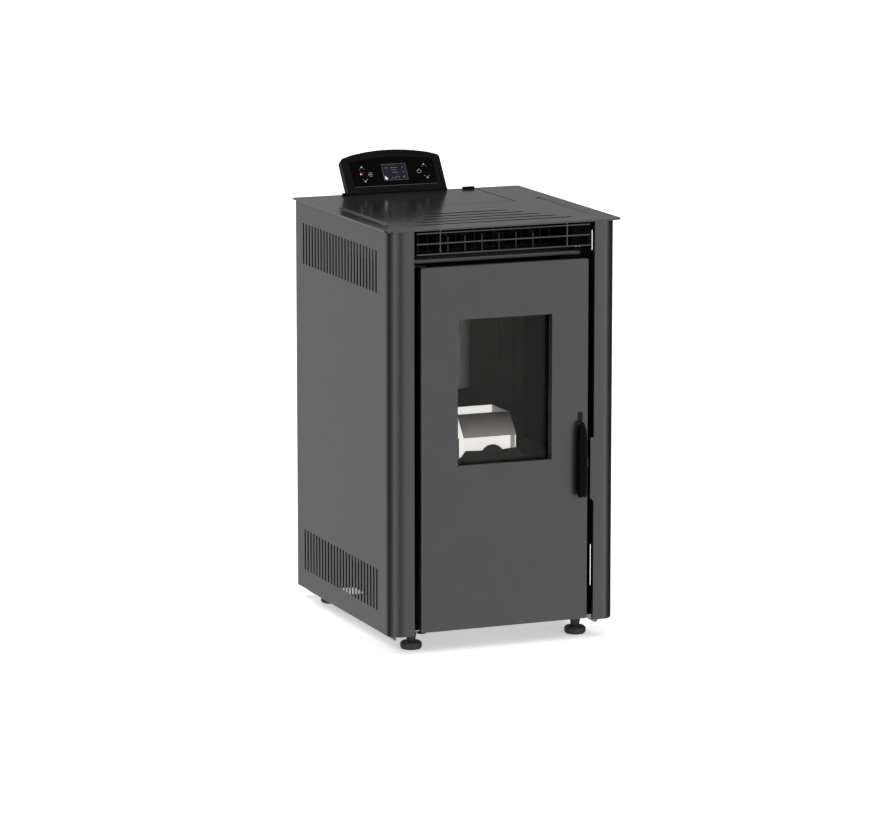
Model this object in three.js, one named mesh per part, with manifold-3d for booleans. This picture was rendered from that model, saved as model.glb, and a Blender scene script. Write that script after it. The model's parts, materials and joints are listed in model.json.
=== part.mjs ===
// Free-standing pellet stove: sheet-metal cabinet, glazed fire door, hopper with auger feed,
// burn pot, exhaust and room-air fans. Millimetres, X to the right, Y to the back, Z up.
import * as THREE from 'three';
import { mergeVertices } from 'three/addons/utils/BufferGeometryUtils.js';
import Module from 'manifold-3d';

const wasm = await Module();
wasm.setup();

// ---------- driving dimensions ----------
// Inside the model Y = 0 is the front edge of the side panels and Z = 0 is the floor.
const GAP = 0.3; // clearance between pieces that touch
const SHEET = 1.5; // cabinet sheet thickness
const CABINET_WIDTH = 414; // over the side panels
const PANEL_DEPTH = 519;
const BODY_HEIGHT = 800; // floor to the upper face of the top plate
const BASE_LEVEL = 35; // floor to the underside of the base plate
const BASE_THICKNESS = 2;
const BASE_FLANGE = 15; // drop of the base plate's side flanges
const BASE_FRONT = 2;
const BASE_DEPTH = 464;
const PANEL_LIFT = 2.2; // side panels end this far above the base flanges
const REAR_COVER_Y = 455; // front face of the recessed rear cover
const CHEEK_DROP = 12; // side panels behind the rear cover are this much lower

const SLOT_COUNT = 25; // louvre slots in each band of a side panel
const SLOT_WIDTH = 7;
const SLOT_HEIGHT = 80;
const SLOT_FRONT = 91.5; // front edge to the first slot of the left panel
const SLOT_REAR = 42; // last slot to the rear edge
const SLOT_LOW = 60.5; // floor to the lower band
const SLOT_DROP = 53.5; // top of the upper band below the body's top
const HOOK_SLOT = 6; // width of the column fixing slots near the front edge
const HOOK_SLOT_Y = 29;
const HOOK_LOW = [86, 166];
const HOOK_HIGH = [732, 770];
const REAR_HEM = 30; // inward fold along the rear edge of a side panel
const TOP_HEM = 10;

const PLATE_THICKNESS = 3;
const PLATE_SIDE_OVERHANG = 30;
const PLATE_FRONT = -40;
const PLATE_REAR = 458.6;
const PLATE_FRONT_RADIUS = 15;
const PLATE_REAR_RADIUS = 5;
const VENT_WIDTH = 9; // transverse vents in the top plate
const VENT_FRONT = 15;
const VENT_PITCH = 32.5;
const VENT_LENGTHS = { front: 314, step: 37.5, count: 5 };
const GROOVE_DEPTH = 1.5; // pressed V grooves along the plate's sides
const GROOVE_WIDTH = 15;
const GROOVE_RANGE = [40, 282];
const GROOVE_INSET = 34; // plate edge to the groove's centre line

const LID_WIDTH = 280;
const LID_FRONT = 253;
const LID_REAR = 446;
const LID_CLEARANCE = 2;
const LID_FINGER_SLOT = { length: 46, width: 8, front: 65, depth: 2 }; // front: from the lid's front edge
const LID_HINGE_RADIUS = 2.4;
const LID_HINGE_LENGTH = 12;
const LID_HINGE_X = 126;

const COLUMN_FRONT = -36.5;
const COLUMN_WIDTH = 46.5;
const COLUMN_OVERHANG = 21; // how far the columns stand out of the side panels
const COLUMN_RADIUS = 28;
const COLUMN_SHEET = 1.8;
const COLUMN_LIP = 8;
const COLUMN_BACK = 9;
const KEEPER = { width: 7, low: 271, high: 387, chamfer: 6 };

const DOOR_FRONT = -37;
const DOOR_SIDE_GAP = 13.2; // door edge to column
const DOOR_BOTTOM = 40;
const DOOR_TOP_DROP = 72.5; // door's top edge below the body's top
const DOOR_RETURN = 11;
const DOOR_SKIN = 2;
const DOOR_CORNER = 3;
const WINDOW_WIDTH = 190;
const WINDOW_HEIGHT = 276;
const WINDOW_LIFT = 311; // window's lower edge above the door's lower edge
const GLASS_DEPTH = 16; // glass behind the door's face
const GLASS_THICKNESS = 4;
const GLASS_LAP = 12;
const RETAINER_STRIP = 9;
const FRAME_BORDER = 25; // door casting beyond the firebox opening
const FRAME_RIM = 22; // back rim of the door casting, which carries the seal
const SEAL_RADIUS = 5;
const SEAL_INSET = 10;
const SEAL_BEND = 14;
const HINGE_PIN_RADIUS = 4;
const HINGE_PIN_LENGTH = 26;
const HINGE_X_INSET = 5.3; // door edge to the hinge line
const HINGE_Y = -24;
const BRACKET_THICKNESS = 2.4;
const BRACKET_TAIL = [8, 27]; // sideways from the hinge line
const BRACKET_FLANGE = 28;

const HANDLE = { width: 14.6, depth: 19, low: 276, high: 421, inset: 8.7, stem: 16, pin: 2 };

const FIREBOX_WIDTH = 300;
const FIREBOX_FRONT = 1.3;
const FIREBOX_DEPTH = 231;
const FIREBOX_BOTTOM = 190;
const FIREBOX_WALL = 4;
const FIREBOX_SHOULDER = 690; // the firebox slopes back above this height
const FIRE_OPENING = { width: 250, high: 660 };
const DUCT_FLOOR_DROP = 60; // duct floor's upper face below the body's top
const DUCT_FRONT = 0;
const DUCT_WIDTH = 336;
const DUCT_LIP = 9;
const DUCT_WALL_FRONT = 34;
const VANE_COUNT = 6;
const VANE_PITCH = 34.4;
const VANE_FRONT = 34;
const VANE_LENGTH = 24;
const VANE_HEIGHT = 34;
const FINS = { count: 15, pitch: 19, thickness: 3, height: 38, base: 4, front: 66 };
const GRILLE_FRONT = -31;
const GRILLE_DEPTH = 6;
const GRILLE_BAR = 2.2;
const GRILLE_TOP_DROP = 8;
const GRILLE_HEIGHT = 41.4;
const GRILLE_SIDE_GAP = 7;
const GRILLE_POST_X = 127.5;
const FRONT_FRAME_Y = 42;

const CHUTE_RADIUS = 28;
const CHUTE_LOW = 455;
const CHUTE_HIGH = 655;
const POT_WIDTH = 102;
const POT_FRONT = 70;
const POT_DEPTH = 76;
const POT_TOP = 428;
const POT_HEIGHT = 82;
const POT_WALL = 2;
const APRON_DROP = 38;
const APRON_REACH = 35;
const CRADLE_Y = 33;
const CRADLE_TOP = 365;
const CRADLE_THICKNESS = 2.5;
const DRAWER = { width: 236, depth: 190, height: 62, wall: 1.5, front: 12 };
const STAND_WIDTH = 264; // folded stand below the firebox

const HOPPER = {
  front: 247, rear: 451, width: 292, knee: 700, neckTop: 600, neckY: [316, 374], neckWidth: 51, wall: 1.5,
};
const AUGER = { bore: 26, wall: 2, length: 190, slope: 42, y: 236, z: 628, flight: 24.4, core: 8, pitch: 42 };
const AUGER_SHAFT = 14; // length of the screw's shaft inside the gearmotor
const FOOT_RADIUS = 20.5;
const FOOT_X = 168;
const FOOT_FRONT = 16.5;
const FOOT_REAR_INSET = 27; // rear edge of the base to the rear stems
const WELD_NUT = { radius: 10, height: 9 };
const AIR_OPENING = { x: [-186, -136], y: [333, 395] }; // room air into the base below its fan
const STEM_RADIUS = 5;
const FLUE = { radius: 40, wall: 1.5, x: 96, z: 132, front: 430, rear: 540 };
const INTAKE = { radius: 25, wall: 1.5, x: -32, z: 92, rear: 500 };
const LINER_THICKNESS = 10;
const IGNITER = { radius: 6, z: 364 };
const INTAKE_PORT_Z = 300;
const BLOWER = { y: 360, z: 172, radius: 60 };
const ROOM_FAN = { x: [-160, -66], y: 330, z: 150, radius: 40, blades: 16 };
const SWITCH = { x: -119, z: 119 };
const INLET = { x: -134, z: 119, width: 54, height: 46, lip: 3, depth: 26 };
const THERMOSTAT = { x: -134, z: 190, radius: 8.5, cap: 12 };
const CONTROL_BOARD = { y: [300, 420], z: [400, 540], standoff: 8, thickness: 2, post: 6 };
const REAR_LOUVRES = { rows: 8, pitch: 14, low: 300, width: 120, height: 5 };
const LEDGE_TOP = 791.5;
const RIM_LAP = 9; // the hopper's rim reaches this far under the lid
const DISPLAY = { x: -8, z: 45, width: 48, height: 34 };
const CATCH = { y: -30.5, z: 340, roller: 4.6 };
const CONSOLE = {
  x: -20.5, width: 206.6, y: 449, lean: 35, side: 80, rise: 14.5, depth: 16, corner: 7, rim: 7,
  footDepth: 22, footDrop: 9, footRise: 2.5,
};
const FASCIA_DEPTH = 1.8; // recess that holds the fascia
const FASCIA_FACE = 0.5; // fascia's face behind the housing's edge

// ---------- derived places ----------
const halfWidth = CABINET_WIDTH / 2;
const innerHalf = halfWidth - SHEET;
const baseTop = BASE_LEVEL + BASE_THICKNESS;
const baseLow = baseTop - BASE_FLANGE - BASE_THICKNESS;
const panelLow = baseLow + PANEL_LIFT;
const plateLow = BODY_HEIGHT - PLATE_THICKNESS;
const panelTop = plateLow - GAP;
const columnOuter = halfWidth + COLUMN_OVERHANG;
const columnInner = columnOuter - COLUMN_WIDTH;
const doorHalf = columnInner - DOOR_SIDE_GAP;
const doorTop = BODY_HEIGHT - DOOR_TOP_DROP;
const windowLow = DOOR_BOTTOM + WINDOW_LIFT;
const windowHigh = windowLow + WINDOW_HEIGHT;
const hingeX = -doorHalf + HINGE_X_INSET;
const ductFloor = BODY_HEIGHT - DUCT_FLOOR_DROP;
const fireboxTop = ductFloor - SHEET - GAP;
const fireboxRear = FIREBOX_FRONT + FIREBOX_DEPTH;
const pinBore = HINGE_PIN_RADIUS + GAP + 0.2;
const handleFront = DOOR_FRONT - HANDLE.depth;
const handleX = doorHalf - HANDLE.inset - HANDLE.width / 2;
const handlePivotY = DOOR_FRONT - 5.3;
const handlePivotZ = HANDLE.high - 5;
const handleBore = HANDLE.pin + GAP + 0.05;
const lidHingeY = LID_REAR + 0.6;
const lidHingeZ = BODY_HEIGHT + LID_HINGE_RADIUS + 0.2;
const fireFloor = FIREBOX_BOTTOM + FIREBOX_WALL;
const frameHalf = FIRE_OPENING.width / 2 + FRAME_BORDER;
const frameLow = fireFloor - FRAME_BORDER;
const frameHigh = FIRE_OPENING.high + FRAME_BORDER;
const glassFront = DOOR_FRONT + GLASS_DEPTH;
const sealFront = FIREBOX_FRONT - 2 * GAP - 2 * SEAL_RADIUS;
const linerRear = fireboxRear - FIREBOX_WALL - GAP;
const linerFront = linerRear - LINER_THICKNESS;
const cradleShelf = POT_TOP - POT_HEIGHT - GAP;
const throughRear = [linerFront - 10, fireboxRear + 10]; // cuts for what passes the firebox's rear wall
const stemBore = STEM_RADIUS + GAP + 0.2;
const footRows = [FOOT_FRONT, BASE_DEPTH - FOOT_REAR_INSET];
const footSpots = footRows.flatMap((y) => [-FOOT_X, FOOT_X].map((x) => [x, y]));
const modelCentreY = (handleFront + FLUE.rear) / 2;

// ---------- materials ----------
function finish(color, roughness, metalness) {
  return new THREE.MeshStandardMaterial({ color, roughness, metalness });
}

const powderCoat = () => finish(0x58585a, 0.55, 0.3);
const blackCoat = () => finish(0x161617, 0.6, 0.2);
const blackPlastic = () => finish(0x0e0e0f, 0.35, 0);
const bareSteel = () => finish(0x9a9a98, 0.4, 0.9);
const galvanised = () => finish(0x8b8d8e, 0.5, 0.8);
const castIron = () => finish(0x2b2b2c, 0.75, 0.4);
const rope = () => finish(0xb9b5aa, 0.95, 0);
const rubber = () => finish(0x111111, 0.9, 0);
const board = () => finish(0x1e5a34, 0.6, 0.1);
const ceramicGlass = () => {
  const glass = finish(0x2a2622, 0.08, 0);
  glass.transparent = true;
  glass.opacity = 0.35;
  return glass;
};

// ---------- geometry helpers ----------
// Outlines are lists of [a, b] pairs, extruded along one axis: a, b are (x, y) for 'z',
// (y, z) for 'x' and (x, z) for 'y'.
const [alongX, alongY, alongZ] = [[1, 0, 0], [0, 1, 0], [0, 0, 1]].map((way) => new THREE.Vector3(...way));
const AXES = {
  x: new THREE.Matrix4().makeBasis(alongY, alongZ, alongX),
  y: new THREE.Matrix4().makeBasis(alongZ, alongX, alongY),
  z: new THREE.Matrix4(),
};

function prism(axis, outline, from, to, holes = []) {
  if (holes.length > 0) {
    const tools = holes.map((hole) => prism(axis, hole, from - 1, to + 1));
    return cut(prism(axis, outline, from, to), ...tools);
  }
  const points = outline.map(([a, b]) => (axis === 'y' ? new THREE.Vector2(b, a) : new THREE.Vector2(a, b)));
  const shape = new THREE.Shape(points);
  const geometry = new THREE.ExtrudeGeometry(shape, { depth: to - from, bevelEnabled: false, steps: 1 });
  geometry.translate(0, 0, from);
  return geometry.applyMatrix4(AXES[axis]);
}

function slab([x0, x1], [y0, y1], [z0, z1]) {
  const box = new THREE.BoxGeometry(x1 - x0, y1 - y0, z1 - z0);
  return box.translate((x0 + x1) / 2, (y0 + y1) / 2, (z0 + z1) / 2);
}

const around = (middle, size) => [middle - size / 2, middle + size / 2];
const rectangle = ([a0, a1], [b0, b1]) => [[a0, b0], [a1, b0], [a1, b1], [a0, b1]];

function arc(a, b, radius, start, end, steps) {
  const points = [];
  for (let i = 0; i <= steps; i += 1) {
    const angle = THREE.MathUtils.degToRad(start + ((end - start) * i) / steps);
    points.push([a + radius * Math.cos(angle), b + radius * Math.sin(angle)]);
  }
  return points;
}

const circle = (a, b, radius, steps = 24) => arc(a, b, radius, 0, 360 - 360 / steps, steps - 1);

function roundedRectangle([a0, a1], [b0, b1], radii, steps = 4) {
  const corners = Array.isArray(radii) ? radii : [radii, radii, radii, radii];
  const [lowLeft, lowRight, highRight, highLeft] = corners;
  return [
    ...arc(a0 + lowLeft, b0 + lowLeft, lowLeft, 180, 270, steps),
    ...arc(a1 - lowRight, b0 + lowRight, lowRight, 270, 360, steps),
    ...arc(a1 - highRight, b1 - highRight, highRight, 0, 90, steps),
    ...arc(a0 + highLeft, b1 - highLeft, highLeft, 90, 180, steps),
  ];
}

// Closed outline of a folded sheet: an open centre path offset to its left by the thickness.
function foldedSheet(path, thickness) {
  const offset = path.map((point, i) => {
    const before = path[Math.max(i - 1, 0)];
    const after = path[Math.min(i + 1, path.length - 1)];
    const first = i === 0 ? direction(point, after) : direction(before, point);
    const second = i === path.length - 1 ? first : direction(point, after);
    const normal = [-(first[1] + second[1]), first[0] + second[0]];
    const length = Math.hypot(...normal);
    const cosine = (first[0] * second[0] + first[1] * second[1] + 1) / length;
    const reach = thickness / cosine;
    return [point[0] + (normal[0] / length) * reach, point[1] + (normal[1] / length) * reach];
  });
  return [...path, ...offset.reverse()];
}

function direction(from, to) {
  const length = Math.hypot(to[0] - from[0], to[1] - from[1]);
  return [(to[0] - from[0]) / length, (to[1] - from[1]) / length];
}

// Closed solid of revolution about Z from an (r, z) profile, which ends on the axis or closes on itself.
function revolve(profile, steps = 32) {
  const closed = profile[0][0] === 0 ? profile : [...profile, profile[0]];
  const points = closed.map(([r, z]) => new THREE.Vector2(r, z));
  return toGeometry(toSolid(new THREE.LatheGeometry(points, steps).rotateX(Math.PI / 2)));
}

function disc(radius, [low, high], steps = 32) {
  return revolve([[0, low], [radius, low], [radius, high], [0, high]], steps);
}

function ring(outer, inner, [low, high], steps = 32) {
  return revolve([[inner, low], [outer, low], [outer, high], [inner, high]], steps);
}

function toSolid(geometry) {
  const bare = geometry.clone();
  bare.deleteAttribute('normal');
  bare.deleteAttribute('uv');
  const merged = mergeVertices(bare, 1e-4);
  const corners = Array.from(merged.index.array);
  const triangles = [];
  for (let i = 0; i < corners.length; i += 3) {
    const [a, b, c] = corners.slice(i, i + 3);
    if (a !== b && b !== c && c !== a) triangles.push(a, b, c);
  }
  const triVerts = Uint32Array.from(triangles);
  const vertProperties = Float32Array.from(merged.attributes.position.array);
  const solid = new wasm.Manifold(new wasm.Mesh({ numProp: 3, vertProperties, triVerts }));
  if (solid.volume() > 0) return solid;
  for (let i = 0; i < triVerts.length; i += 3) {
    [triVerts[i], triVerts[i + 1]] = [triVerts[i + 1], triVerts[i]];
  }
  return new wasm.Manifold(new wasm.Mesh({ numProp: 3, vertProperties, triVerts }));
}

function toGeometry(solid) {
  const mesh = solid.getMesh();
  const geometry = new THREE.BufferGeometry();
  geometry.setAttribute('position', new THREE.BufferAttribute(new Float32Array(mesh.vertProperties), 3));
  geometry.setIndex(new THREE.BufferAttribute(new Uint32Array(mesh.triVerts), 1));
  geometry.computeVertexNormals();
  return geometry;
}

const join = (...shapes) => toGeometry(shapes.map(toSolid).reduce((whole, shape) => whole.add(shape)));
const mirrorX = (geometry) => toGeometry(toSolid(geometry.clone().scale(-1, 1, 1)));

function cut(shape, ...tools) {
  return toGeometry(tools.map(toSolid).reduce((rest, tool) => rest.subtract(tool), toSolid(shape)));
}

const stove = new THREE.Group();
const assembly = new THREE.Group();
assembly.position.set(0, -modelCentreY, 0);
stove.add(assembly);

function place(parent, name, geometry, material) {
  const mesh = new THREE.Mesh(geometry, material);
  mesh.name = name;
  parent.add(mesh);
  return mesh;
}

// ---------- cabinet ----------
function basePlate() {
  const half = innerHalf - GAP;
  const section = [[half, baseLow], [half, baseTop], [-half, baseTop], [-half, baseLow]];
  const tray = prism('y', foldedSheet(section, BASE_THICKNESS), BASE_FRONT, BASE_DEPTH);
  const weldNuts = footSpots.map(([x, y]) => {
    return disc(WELD_NUT.radius, [baseTop - 1, baseTop + WELD_NUT.height], 6).translate(x, y, 0);
  });
  const stemHoles = footSpots.map(([x, y]) => disc(stemBore, [0, BASE_LEVEL * 2], 12).translate(x, y, 0));
  const airOpening = prism('z', roundedRectangle(AIR_OPENING.x, AIR_OPENING.y, 12, 3), 0, BASE_LEVEL * 2);
  return cut(join(tray, ...weldNuts), ...stemHoles, airOpening);
}

function sidePanel() {
  const pitch = (PANEL_DEPTH - SLOT_FRONT - SLOT_REAR) / (SLOT_COUNT - 1);
  const bands = [SLOT_LOW, BODY_HEIGHT - SLOT_DROP - SLOT_HEIGHT];
  const slots = [HOOK_LOW, HOOK_HIGH].map((z) => rectangle([HOOK_SLOT_Y, HOOK_SLOT_Y + HOOK_SLOT], z));
  for (const low of bands) {
    for (let i = 0; i < SLOT_COUNT; i += 1) {
      const y = SLOT_FRONT + i * pitch;
      slots.push(rectangle([y - SLOT_WIDTH / 2, y + SLOT_WIDTH / 2], [low, low + SLOT_HEIGHT]));
    }
  }
  const cheekFront = PLATE_REAR - 2;
  const outline = [
    [0, panelLow], [PANEL_DEPTH, panelLow], [PANEL_DEPTH, panelTop - CHEEK_DROP],
    [cheekFront, panelTop - CHEEK_DROP], [cheekFront, panelTop], [0, panelTop],
  ];
  const skin = prism('x', outline, innerHalf, halfWidth, slots);
  const inward = (hem) => [innerHalf - hem, innerHalf + SHEET / 2];
  const rearHem = slab(inward(REAR_HEM), [PANEL_DEPTH - SHEET, PANEL_DEPTH], [panelLow, panelTop - CHEEK_DROP]);
  const topHem = slab(inward(TOP_HEM), [FRONT_FRAME_Y + 10, cheekFront - 12], [panelTop - SHEET, panelTop]);
  return join(skin, rearHem, topHem);
}

function rearCover() {
  const half = innerHalf - GAP;
  const low = baseTop + GAP;
  const holes = [
    circle(FLUE.x, FLUE.z, FLUE.radius + 2, 32),
    circle(INTAKE.x, INTAKE.z, INTAKE.radius + 2, 24),
    rectangle(around(INLET.x, INLET.width + 1), around(INLET.z, INLET.height + 1)),
    circle(THERMOSTAT.x, THERMOSTAT.z, THERMOSTAT.radius + 1, 16),
  ];
  for (let i = 0; i < REAR_LOUVRES.rows; i += 1) {
    const z = REAR_LOUVRES.low + i * REAR_LOUVRES.pitch;
    holes.push(rectangle(around(0, REAR_LOUVRES.width), [z, z + REAR_LOUVRES.height]));
  }
  const outline = rectangle([-half, half], [low, panelTop]);
  const skin = prism('y', outline, REAR_COVER_Y, REAR_COVER_Y + SHEET, holes);
  const footHalf = half - 55;
  const foot = slab([-footHalf, footHalf], [REAR_COVER_Y - 12, REAR_COVER_Y + SHEET / 2], [low, low + SHEET]);
  const clearFlue = slab([FLUE.x - 60, FLUE.x + 60], [0, REAR_COVER_Y], [low - 1, low + 2]);
  return join(skin, cut(foot, clearFlue));
}

function topPlate() {
  const half = halfWidth + PLATE_SIDE_OVERHANG;
  const corners = [PLATE_FRONT_RADIUS, PLATE_FRONT_RADIUS, PLATE_REAR_RADIUS, PLATE_REAR_RADIUS];
  const lidHalf = LID_WIDTH / 2 + LID_CLEARANCE;
  const holes = [rectangle([-lidHalf, lidHalf], [LID_FRONT - LID_CLEARANCE, LID_REAR + LID_CLEARANCE])];
  for (let i = 0; i < VENT_LENGTHS.count; i += 1) {
    const y = VENT_FRONT + i * VENT_PITCH;
    const reach = (VENT_LENGTHS.front - i * VENT_LENGTHS.step) / 2;
    holes.push(roundedRectangle([-reach, reach], around(y, VENT_WIDTH), VENT_WIDTH / 2 - 0.1, 2));
  }
  const outline = roundedRectangle([-half, half], [PLATE_FRONT, PLATE_REAR], corners, 5);
  const sheet = prism('z', outline, plateLow, BODY_HEIGHT, holes);
  const grooves = [-1, 1].map((side) => {
    const x = side * (half - GROOVE_INSET);
    const edges = around(x, GROOVE_WIDTH);
    const section = [
      [edges[0], BODY_HEIGHT], [x, BODY_HEIGHT - GROOVE_DEPTH], [edges[1], BODY_HEIGHT], [x, BODY_HEIGHT + 2],
    ];
    return prism('y', section, ...GROOVE_RANGE);
  });
  const knuckles = lidKnuckles(LID_HINGE_X - LID_HINGE_LENGTH - GAP, [lidHingeY, CONSOLE.y - GAP]);
  return join(cut(sheet, ...grooves), ...knuckles);
}

// A pair of hinge barrels, each with a web that carries it.
function lidKnuckles(inner, webY) {
  return [inner, -inner - LID_HINGE_LENGTH].map((x) => {
    const barrel = prism('x', circle(lidHingeY, lidHingeZ, LID_HINGE_RADIUS, 12), x, x + LID_HINGE_LENGTH);
    return join(barrel, slab([x, x + LID_HINGE_LENGTH], webY, [BODY_HEIGHT - 1, lidHingeZ]));
  });
}

function frontColumn() {
  const back = COLUMN_FRONT + COLUMN_RADIUS;
  const path = [
    [columnInner, COLUMN_FRONT + COLUMN_LIP], [columnInner, COLUMN_FRONT],
    ...arc(columnOuter - COLUMN_RADIUS, back, COLUMN_RADIUS, 270, 360, 10),
    [columnOuter, COLUMN_BACK], [halfWidth + GAP, COLUMN_BACK],
  ];
  return prism('z', foldedSheet(path, COLUMN_SHEET), BASE_LEVEL, panelTop);
}

function keeperTab() {
  const outline = [
    [columnInner - KEEPER.width, KEEPER.low], [columnInner - KEEPER.chamfer / 6, KEEPER.low - KEEPER.chamfer],
    [columnInner + 1, KEEPER.low - KEEPER.chamfer], [columnInner + 1, KEEPER.high],
    [columnInner - KEEPER.width, KEEPER.high],
  ];
  return prism('y', outline, COLUMN_FRONT, COLUMN_FRONT + COLUMN_SHEET);
}

function frontFrame() {
  const half = innerHalf - GAP;
  const opening = FIREBOX_WIDTH / 2 + 1;
  const low = baseTop + GAP;
  const sill = FIREBOX_BOTTOM - 1;
  const outline = [
    [-half, low], [half, low], [half, fireboxTop], [opening, fireboxTop], [opening, sill],
    [-opening, sill], [-opening, fireboxTop], [-half, fireboxTop],
  ];
  return prism('y', outline, FRONT_FRAME_Y, FRONT_FRAME_Y + SHEET);
}

function warmAirDuct() {
  const half = DUCT_WIDTH / 2;
  const bend = 4;
  const rear = fireboxRear;
  const profile = foldedSheet([
    [rear, ductFloor],
    ...arc(DUCT_FRONT + bend, ductFloor - bend, bend, 90, 180, 4),
    [DUCT_FRONT, ductFloor - DUCT_LIP],
  ], SHEET);
  const floor = prism('x', profile, -half, half);
  const low = ductFloor - SHEET / 2;
  const wallY = [DUCT_WALL_FRONT, rear - 1];
  const walls = [-half, half - SHEET].map((x) => slab([x, x + SHEET], wallY, [low, panelTop - 3]));
  const vanes = [];
  for (let i = 0; i < VANE_COUNT; i += 1) {
    const x = (i - (VANE_COUNT - 1) / 2) * VANE_PITCH;
    const along = [VANE_FRONT, VANE_FRONT + VANE_LENGTH];
    vanes.push(slab([x - SHEET / 2, x + SHEET / 2], along, [low, ductFloor + VANE_HEIGHT]));
  }
  return join(floor, ...walls, ...vanes);
}

function heatExchanger() {
  const half = ((FINS.count - 1) * FINS.pitch + FINS.thickness) / 2;
  const low = ductFloor + GAP;
  const outline = [[-half, low], [half, low]];
  for (let i = FINS.count - 1; i >= 0; i -= 1) {
    const x = -half + i * FINS.pitch;
    outline.push([x + FINS.thickness, low + FINS.height], [x, low + FINS.height]);
    if (i > 0) outline.push([x, low + FINS.base], [x - FINS.pitch + FINS.thickness, low + FINS.base]);
  }
  return prism('y', outline, FINS.front, fireboxRear - FIREBOX_WALL);
}

function outletGrille() {
  const half = columnInner - GRILLE_SIDE_GAP;
  const low = BODY_HEIGHT - GRILLE_TOP_DROP - GRILLE_HEIGHT;
  const y = [GRILLE_FRONT, GRILLE_FRONT + GRILLE_DEPTH];
  const bars = [0, 0.5, 1].map((share) => {
    const z = low + share * (GRILLE_HEIGHT - GRILLE_BAR);
    return slab([-half, half], y, [z, z + GRILLE_BAR]);
  });
  const posts = [-GRILLE_POST_X, GRILLE_POST_X].map((x) => slab(around(x, GRILLE_BAR), y, [low, panelTop]));
  return join(...bars, ...posts);
}

// The bracket's tail runs back beside the hinge line: side is 1 for the right and -1 for the left.
function hingeBracket(low, rear, side) {
  const nose = HINGE_PIN_RADIUS + 5;
  const outline = [
    ...arc(0, HINGE_Y, nose, 90, 360, 12), [BRACKET_TAIL[1], HINGE_Y], [BRACKET_TAIL[1], rear],
    [BRACKET_TAIL[0], rear], [BRACKET_TAIL[0], HINGE_Y + nose],
  ].map(([x, y]) => [hingeX + side * x, y]);
  return prism('z', outline, low, low + BRACKET_THICKNESS, [circle(hingeX, HINGE_Y, pinBore, 16)]);
}

function upperHingeBracket() {
  const low = doorTop + GAP;
  const rear = FRONT_FRAME_Y - GAP;
  const x = BRACKET_TAIL.map((offset) => hingeX - offset).reverse();
  const flange = slab(x, [rear - BRACKET_THICKNESS, rear], [low - BRACKET_FLANGE, low + BRACKET_THICKNESS]);
  return join(hingeBracket(low, rear, -1), flange);
}

// ---------- levelling feet ----------
function levellingFoot() {
  const stemTop = BASE_LEVEL + 25;
  return revolve([
    [0, 0], [FOOT_RADIUS - 2.5, 0], [FOOT_RADIUS, 3], [FOOT_RADIUS, 11], [FOOT_RADIUS - 3, 14], [8, 14.5],
    [11, BASE_LEVEL - GAP], [STEM_RADIUS, BASE_LEVEL - GAP], [STEM_RADIUS, stemTop], [0, stemTop],
  ], 16);
}

// ---------- firebox ----------
function fireboxShell() {
  const half = FIREBOX_WIDTH / 2;
  const wall = FIREBOX_WALL;
  const slope = fireboxTop - FIREBOX_SHOULDER;
  const outer = prism('x', [
    [FIREBOX_FRONT, FIREBOX_BOTTOM], [fireboxRear, FIREBOX_BOTTOM], [fireboxRear, fireboxTop],
    [FIREBOX_FRONT + slope, fireboxTop], [FIREBOX_FRONT, FIREBOX_SHOULDER],
  ], -half, half);
  const flange = slab([-half, half], [FIREBOX_FRONT, FIREBOX_FRONT + wall], [frameLow, frameHigh]);
  const cavity = prism('x', [
    [FIREBOX_FRONT + wall, fireFloor], [fireboxRear - wall, fireFloor],
    [fireboxRear - wall, fireboxTop - wall], [FIREBOX_FRONT + slope + 2, fireboxTop - wall],
    [FIREBOX_FRONT + wall, FIREBOX_SHOULDER - 2],
  ], -half + wall, half - wall);
  const mouth = slab(around(0, FIRE_OPENING.width), [0, 20], [fireFloor, FIRE_OPENING.high]);
  const feed = prism('y', circle(0, AUGER.z, AUGER.bore, 20), ...throughRear);
  const smoke = slab([2, 58], throughRear, [fireFloor + 4, 236]);
  const air = prism('y', circle(INTAKE.x, INTAKE_PORT_Z, INTAKE.radius - 3, 16), ...throughRear);
  const heater = prism('y', circle(0, IGNITER.z, IGNITER.radius + GAP + 0.1, 16), ...throughRear);
  return cut(join(outer, flange), cavity, mouth, feed, smoke, air, heater);
}

function fireboxStand() {
  const half = STAND_WIDTH / 2;
  const z = [baseTop + GAP, FIREBOX_BOTTOM - GAP];
  const path = foldedSheet([[half, z[0]], [half, z[1]], [-half, z[1]], [-half, z[0]]], SHEET);
  return prism('y', path, FRONT_FRAME_Y + 8, fireboxRear - FIREBOX_WALL);
}

function fireboxLiner() {
  const half = FIREBOX_WIDTH / 2 - FIREBOX_WALL - GAP;
  const z = [cradleShelf + GAP, CHUTE_HIGH + 30];
  const back = slab([-half, half], [linerFront, linerRear], z);
  const panels = [];
  for (const side of [-1, 1]) {
    for (let i = 0; i < 3; i += 1) {
      const x = side * (52 + i * 32);
      panels.push(slab([x - 10, x + 10], [linerFront - 1, linerFront + 3], [z[0] + 34, z[1] - 30]));
    }
  }
  const feed = prism('y', circle(0, AUGER.z - 6, AUGER.bore - 4, 20), ...throughRear);
  const heater = prism('y', circle(0, IGNITER.z, IGNITER.radius + GAP + 0.1, 16), ...throughRear);
  return cut(back, ...panels, feed, heater);
}

function pelletChute() {
  const y = linerFront - GAP;
  const half = foldedSheet(arc(0, y, CHUTE_RADIUS, 360, 180, 16), 2);
  const channel = prism('z', half, CHUTE_LOW, CHUTE_HIGH);
  const cap = prism('z', arc(0, y, CHUTE_RADIUS + 1, 180, 360, 16), CHUTE_HIGH - 2, CHUTE_HIGH);
  return join(channel, cap);
}

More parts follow.
